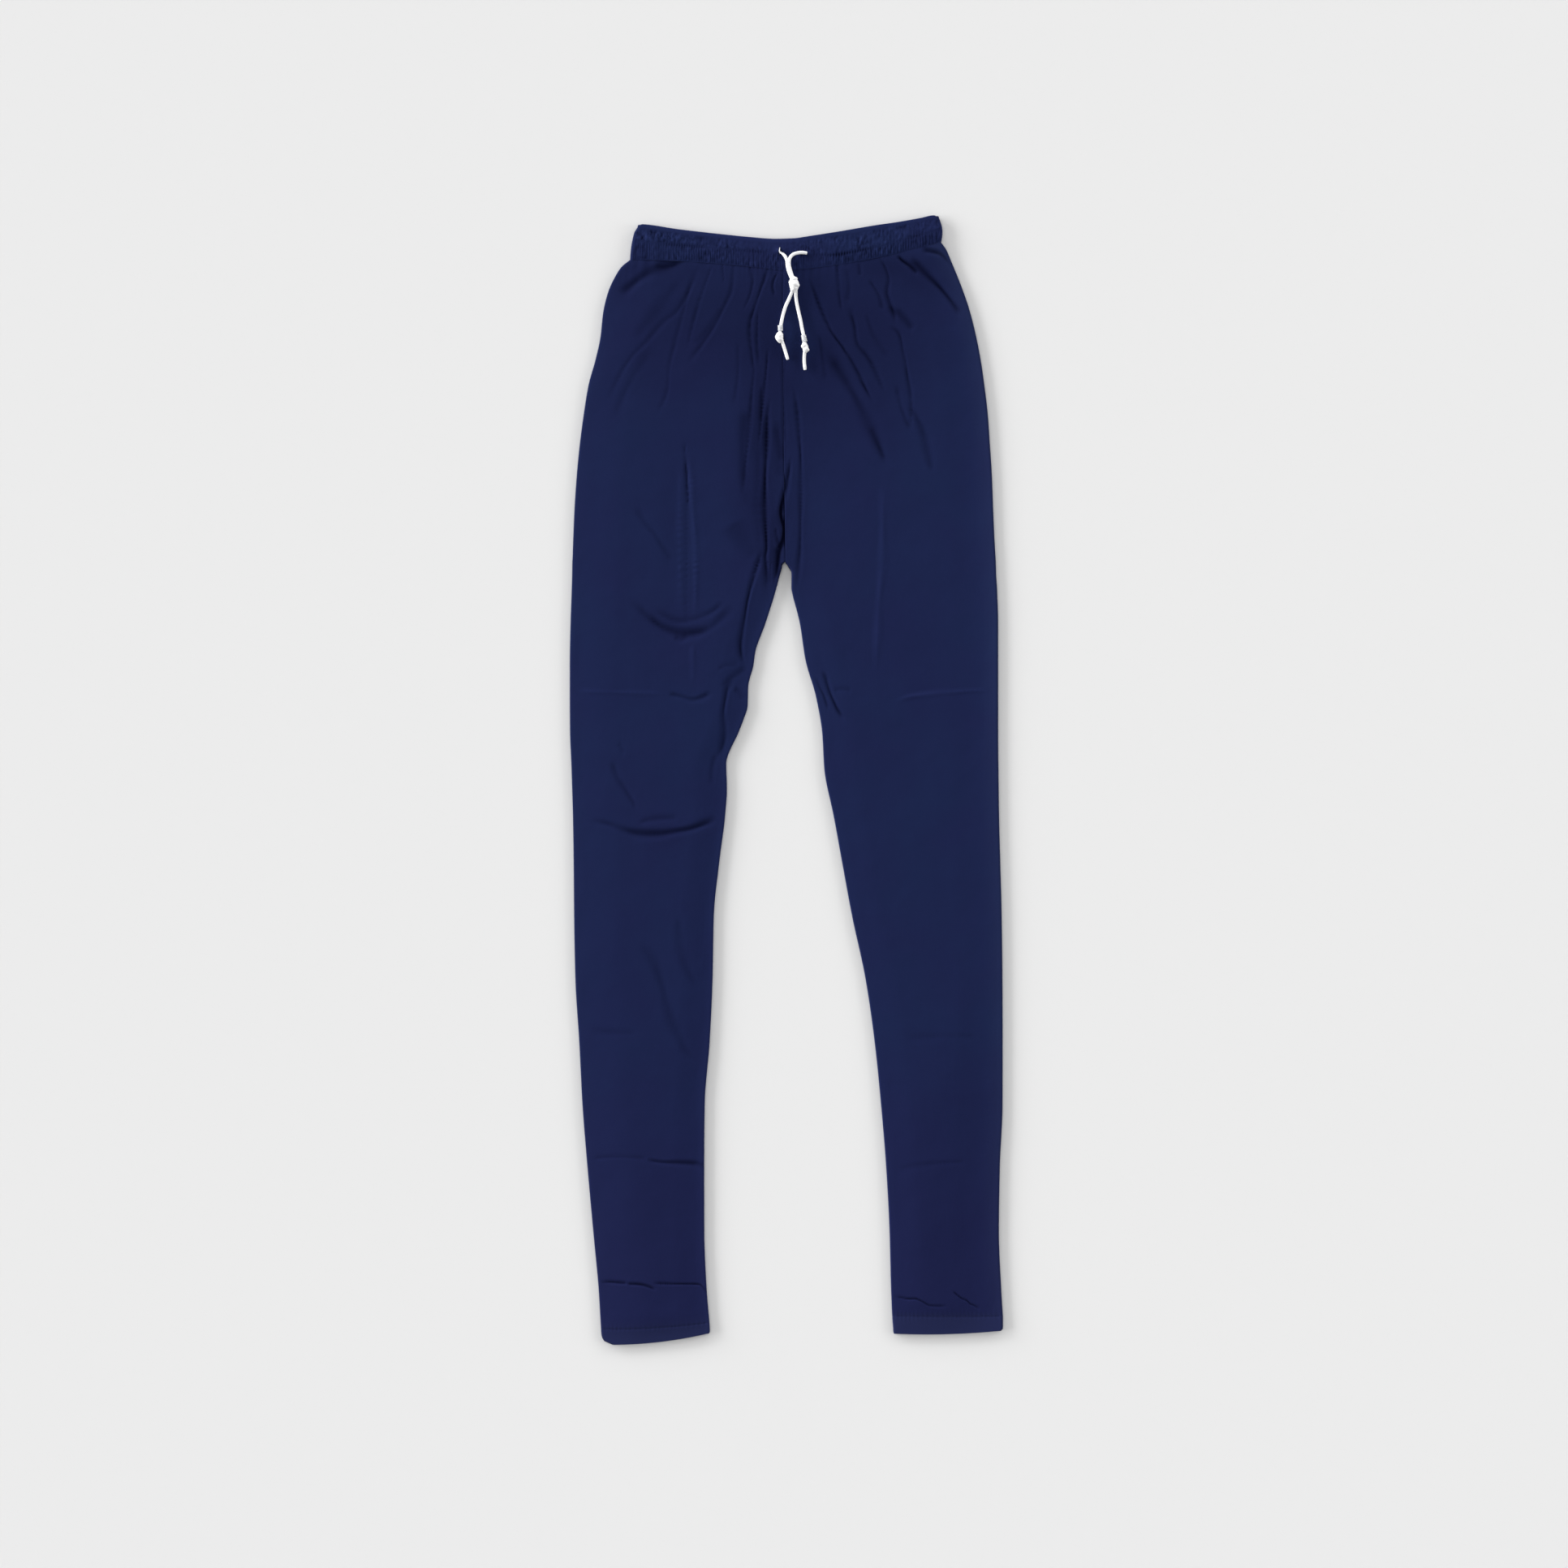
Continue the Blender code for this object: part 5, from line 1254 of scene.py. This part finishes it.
def leg_shell(name, side, stations):
    """One leg in one piece: round the outer fold and back to the inseam."""
    row = panel_rows(stations)
    hem_near = np.abs(row.y_out - stations[-1].y_out)
    below_band = stations[0].y_out - row.y_out
    in_hem = ease((HEM_DEPTH + HEM_STEP_RUN / 2.0 - hem_near) / HEM_STEP_RUN)
    cloth = JERSEY + (TURNED_HEM - JERSEY) * in_hem
    edge_top = EDGE_TOP + (BAND_MEET_TOP - EDGE_TOP) * (1.0 - ease(below_band / BAND_RISE_RUN))
    back = cloth / 2.0
    front_edge = edge_top - cloth / 2.0
    fold_radius = (front_edge - back) / 2.0
    wrap_radius = fold_radius - SEAM_GAP / 2.0
    wrap_length = wrap_radius * math.pi / 2.0
    angle = np.maximum(row.turned, 1e-4) * math.pi / 2.0
    steps = np.linspace(0.0, 1.0, WRAP_STEPS + 1)[None, 1:]
    turned = angle * steps
    run = wrap_length / angle * np.sin(turned)
    drop = wrap_length / angle * (1.0 - np.cos(turned))
    inner = side * row.x_in + MEETING_GAP / 2.0 * (1.0 - row.turned)
    root = inner + run[:, -1:] + cloth / 2.0 * np.sin(turned[:, -1:])
    outer = side * row.x_out - cloth / 2.0 - fold_radius
    rise = LEG_RISE * ease(below_band / BAND_RISE_RUN) * ease(hem_near / HEM_RISE_RUN)

    fraction = np.linspace(0.0, 1.0, FRONT_COLUMNS + 1)[None, :]
    fraction = fraction - INNER_CROWDING * np.sin(math.pi * fraction) * (1.0 - fraction)
    across = root + (outer - root) * fraction
    x = side * across
    y = along_row(row, x)
    from_outer = outer - across
    open_inside = 1.0 - ease((stations[NOTCH].y_in - row.y_in) / NOTCH_CLOSING)
    top, tone = leg_front(row, side, x, y, from_outer, across - root, open_inside, hem_near, edge_top, rise)
    lowered = lowest_near(top, INNER_STEP + 1, 2) - cloth

    fold = np.linspace(0.0, 1.0, OUTER_FOLD_STEPS + 1)[None, 1:-1]
    bearing = math.pi / 2.0 - math.pi * fold
    middle = (front_edge + back) / 2.0
    y_outer = along_row(row, side * outer)

    share = np.linspace(1.0, 0.0, BACK_COLUMNS + 1)[None, :]
    back_across = root + (outer - root) * share
    back_x = side * back_across
    back_y = along_row(row, back_x)
    back_creases, back_tone = crease_relief(BACK_CREASES, back_x, back_y)
    back_inside = open_inside + (1.0 - open_inside) * ease((back_across - root) / FOLD_FADE_RUN)
    back_edges = ease((outer - back_across) / FOLD_FADE_RUN) * back_inside * ease(hem_near / HEM_RISE_RUN)
    back_soft = BACK_RIPPLE.height * ripple(back_x, back_y, BACK_RIPPLE.size, BACK_RIPPLE.seed)
    back_lift = (np.maximum(-back_creases, 0.0) + np.maximum(back_soft, 0.0)) * back_edges

    y_inner = along_row(row, side * root)
    root_mid = top[:, :1] - cloth / 2.0

    def grid(u, v, z):
        return np.stack(np.broadcast_arrays(side * u, v, z), axis=-1)

    sewn = int(np.argmin(np.abs(hem_near[:, 0] - HEM_DEPTH)))
    hem_stitches("hem_stitches" + name[3:-6], np.broadcast_to(x, top.shape)[sewn], y[sewn], top[sewn])

    groove = SEAM_GROOVE * (1.0 - row.turned) * steps ** 2
    stretch = 1.0 + row.turned * (root_mid - front_edge) / wrap_radius
    skins = []
    for sign in (1.0, -1.0):
        half = sign * cloth / 2.0
        radius = fold_radius + half
        wrap = root - run - np.sin(turned) * half
        wrap_top = root_mid - drop * stretch - groove + np.cos(turned) * half
        skins.append(np.concatenate((
            grid(wrap[:, ::-1], y_inner, wrap_top[:, ::-1]),
            grid(across, y, top if sign > 0 else lowered),
            grid(outer + radius * np.cos(bearing), y_outer, middle + radius * np.sin(bearing)),
            grid(back_across, back_y, back - half + back_lift),
            grid(wrap, y_inner, back + drop - np.cos(turned) * half),
        ), axis=1))

    rows = len(row.y_in)
    edge = np.zeros((rows, WRAP_STEPS))
    # Painted shade and light, with the cloth's tone, for the material
    painted_shade_and_tone = np.concatenate((edge + tone[:, :1], tone, np.full((rows, OUTER_FOLD_STEPS - 1), FOLD_TONE),
                             back_tone * back_edges, edge), axis=1)
    round_fold = fold_radius * math.pi
    flat_u = np.concatenate((
        (outer - root + run)[:, ::-1], outer - across, -round_fold * fold,
        back_across - outer - round_fold, root - outer - run - round_fold), axis=1)
    skin = skins[0]
    uv = np.stack((flat_u, skin[:, :, 1]), axis=-1)
    # Purple hue of the broad painted shade, and of the lower legs
    warm = np.clip(-WARM_BY_PAINTED_SHADE * broad_painted_shade(skin[:, :, 0], skin[:, :, 1]), 0.0, WARM_MOST)
    warm = np.maximum(warm, ease((WARM_BELOW - skin[:, :, 1]) / WARM_RUN))
    looks = {"painted_shade_and_tone": painted_shade_and_tone, "pale_grey": leg_pale_grey(side, from_outer, hem_near), "warm": warm}
    return shell(name, skin, skins[1], uv, looks, ring=False, row_step=INNER_STEP)


def casing_line(along, h):
    """Places along the casing at one height of the band, its ends cut as laid."""
    from_side = CASING_TOP / 2.0
    seam_places = [place.x_seam for place in CASING_EDGE]
    left_end = seam_places[0] + from_side
    right_end = seam_places[-1] - from_side
    x_seam = left_end + (right_end - left_end) * along
    y_seam = seam_line(x_seam) + CASING_MEET
    x_top = through(seam_places, [place.x_top for place in CASING_EDGE], x_seam)
    y_top = through(seam_places, [place.y_top for place in CASING_EDGE], x_seam) - ROLL_INSET
    right_swell = RIGHT_SWELL * math.sin(math.pi * h)
    left_cut = (LEFT_CUT_IN * float(ease((h - 0.8) / 0.2))
                - LEFT_SWELL * math.sin(math.pi * min(h / 0.85, 1.0)))
    at_right = ease((along - 1.0 + RIGHT_SWELL_SHARE) / RIGHT_SWELL_SHARE)
    at_left = ease((LEFT_SHARE - along) / LEFT_SHARE)
    x = x_seam + (x_top - x_seam) * h + right_swell * at_right + left_cut * at_left
    return x, y_seam + (y_top - y_seam) * h


def casing_shell(name):
    """Folded casing: puckered in front and behind, with a rolled top edge."""
    back = CASING / 2.0
    front = CASING_TOP - CASING / 2.0
    radius = (front - back) / 2.0
    middle = (front + back) / 2.0
    half = CASING / 2.0
    roll = np.linspace(0.0, math.pi / 2.0, CASING_ROLL_STEPS + 1)[1:]
    heights = np.concatenate((np.linspace(0.0, 1.0, CASING_ROWS + 1), np.ones(CASING_ROLL_STEPS)))
    rolled = np.concatenate((np.zeros(CASING_ROWS + 1), roll))
    front_along = np.linspace(0.0, 1.0, CASING_COLUMNS + 1)
    back_along = np.linspace(1.0, 0.0, CASING_BACK_COLUMNS + 1)
    turn = np.linspace(0.0, 1.0, OUTER_FOLD_STEPS + 1)[1:-1]
    plain = np.zeros(len(turn))

    outer_rows, inner_rows, tones = [], [], []
    for h, angle in zip(heights, rolled):
        lift_x, lift_y = casing_line(front_along, h)
        lift, tone = pucker_relief(lift_x, lift_y, h)
        back_x, back_y = casing_line(back_along, h)
        back_lift, back_tone = pucker_relief(back_x + BACK_PATTERN_SHIFT, back_y, h)
        back_lift = np.clip(BACK_LIFT_BASE - back_lift * BACK_LIFT_SHARE, 0.0, BACK_LIFT_MOST)
        up_y = ROLL_INSET * math.sin(angle)
        drop = ROLL_DROP * (1.0 - math.cos(angle))
        step = SEAM_STEP * (1.0 - float(ease(h / SEAM_STEP_SHARE)))
        outer_z = front + half + lift * math.cos(angle) - drop - step
        inner_z = np.full_like(lift, front - half) + drop * INNER_DROP_SHARE
        skins = []
        for sign, z_front in ((1.0, outer_z), (-1.0, inner_z)):
            r = radius + sign * half * (1.0 if sign < 0 else math.cos(angle) * 0.5 + 0.5)
            z_back = back - sign * half + (back_lift + drop if sign > 0 else -drop * INNER_DROP_SHARE)
            ends = []
            for along, begin in ((1.0, math.pi / 2.0), (0.0, -math.pi / 2.0)):
                x_end, y_end = casing_line(along, h)
                bearing = begin - math.pi * turn
                ends.append(np.stack((x_end + r * np.cos(bearing), plain + (y_end + up_y),
                                      middle + r * np.sin(bearing)), axis=-1))
            skins.append(np.concatenate((
                np.stack((lift_x, lift_y + up_y, z_front), axis=-1), ends[0],
                np.stack((back_x, back_y + up_y, np.broadcast_to(z_back, back_x.shape)), axis=-1), ends[1],
            )))
        outer_rows.append(skins[0])
        inner_rows.append(skins[1])
        # Painted shade and light of the puckers, with a lighter rolled top
        tones.append(np.concatenate((tone + ROLL_TONE * math.sin(angle), plain,
                                     back_tone * BACK_TONE_SHARE, plain)))
    outer = np.array(outer_rows)
    inner = np.array(inner_rows)
    steps = np.hypot(np.diff(outer[0, :, 0]), np.diff(outer[0, :, 2]))
    run = np.concatenate(([0.0], np.cumsum(steps)))
    uv = np.stack((np.broadcast_to(run, outer.shape[:2]), outer[:, :, 1]), axis=-1)
    painted_shade_and_tone = np.clip(np.array(tones), -1.0, 1.0)
    even = np.zeros(painted_shade_and_tone.shape)
    looks = {"painted_shade_and_tone": painted_shade_and_tone, "pale_grey": even, "warm": even}
    return shell(name, outer, inner, uv, looks, ring=True, row_step=2)


def pucker_relief(x, y, h):
    """Height of the casing's puckers at one height of the band, and the painted shade and light that follow
    it.
    """
    strength = np.clip(0.95 + 1.3 * pattern(STRENGTH, x, y), 0.5, 1.5)
    calm = hump(x - CALM_CENTRE, CALM_REACH, 4) * float(ease((h - 0.6) / 0.12))
    strength = strength * (1.0 - CALM_SHARE * calm)
    mottle, patches, grain = (pattern(kind, x, y) for kind in (MOTTLE, PATCHES, GRAIN))
    ribs = np.cos(waves(x, RIB_PITCH, RIB_SWING, RIB_SWING_RUN) + 1.5 * patches)
    low, high = (ribs, mottle, patches), (mottle, patches, grain)

    row = through(*zip(*STITCH_ROW), np.clip(x, STITCH_ROW[0][0], STITCH_ROW[-1][0]))
    low_part = float(ease(h / 0.06)) * ease((row + 0.02 - h) / 0.1)
    high_part = ease((h - row) / 0.08) * float(ease((0.93 - h) / 0.12))
    dashes = 0.6 + 0.4 * np.cos(waves(x, DASH_PITCH, DASH_SWING, DASH_SWING_RUN))
    shown = np.clip(0.45 + 1.6 * pattern(LINE_SHOWN, x, y), 0.0, 1.0) + 0.7 * hump(x - 47.0, 30.0, 4)
    line = hump(h - row, LINE_WIDTH)
    above = np.maximum(y - seam_line(np.clip(x, -149.0, 147.0)), 0.0)

    def weighed(low_shares, high_shares):
        low_sum = sum(share * field for share, field in zip(low_shares, low))
        high_sum = sum(share * field for share, field in zip(high_shares, high))
        return (low_part * low_sum + high_part * high_sum) * strength

    crown = CROWN * math.sin(math.pi * min(max(h, 0.0), 1.0)) ** 0.6
    lift = (crown + weighed(LOW_LIFT, HIGH_LIFT) - line * (0.10 + 0.40 * dashes * shown)
            + gathers(x, above * 0.5) - 0.12 * hump(above, WAIST_DIP_RUN))
    side_dark = SIDE_DARK + SIDE_DARKER * ease((x + 10.0) / 60.0)
    # Painted shade and light that follow the puckers' height and the stitch row's dashes, and painted light
    # right of the cord against its cast shadow
    tone = (weighed(LOW_PAINTED_SHADE, HIGH_PAINTED_SHADE) - LOW_DARK * low_part + CALM_TONE * calm + BAND_TONE
            + TOP_TONE * float(ease((h - 0.88) / 0.06)) - STITCH_ROW_PAINTED_SHADE * line * dashes * shown
            - side_dark * (1.0 - 0.9 * high_part) + CORD_SHADOW_PAINTED_LIGHT * (1.0 - h) * hump(x - CORD_SHADOW_LIGHT_CENTRE, CORD_SHADOW_LIGHT_REACH))
    for eye_x, eye_y in EYELETS:
        beyond = (x - eye_x) * np.sign(eye_x - EYELETS_MIDDLE)
        cover = hump(y - eye_y, 2.6) * ease((beyond + 0.6) / 0.8) * hump(np.maximum(beyond, 0.0), 4.5)
        slit = hump(y - eye_y, 2.4) * hump(beyond + 1.6, 1.2)
        lift = lift + EYELET_COVER * cover - SLIT_DEPTH * slit
        # Painted shade in the slit
        tone = tone - SLIT_PAINTED_SHADE * slit
    return lift, tone


def garment():
    """Both legs and the casing."""
    right = finish_piece(leg_shell("leg_right_cloth", -1, RIGHT_LEG), "navy_jersey", "leg_panel_right")
    left = finish_piece(leg_shell("leg_left_cloth", 1, LEFT_LEG), "navy_jersey", "leg_panel_left")
    casing = finish_piece(casing_shell("waist_casing_cloth"), "navy_jersey", "waist_casing")


set_studio()
MATERIALS = {"navy_jersey": navy_jersey(), "white_cord": white_cord(), "clear_bead": clear_bead(),
             "navy_thread": navy_thread()}
drawcord()
garment()
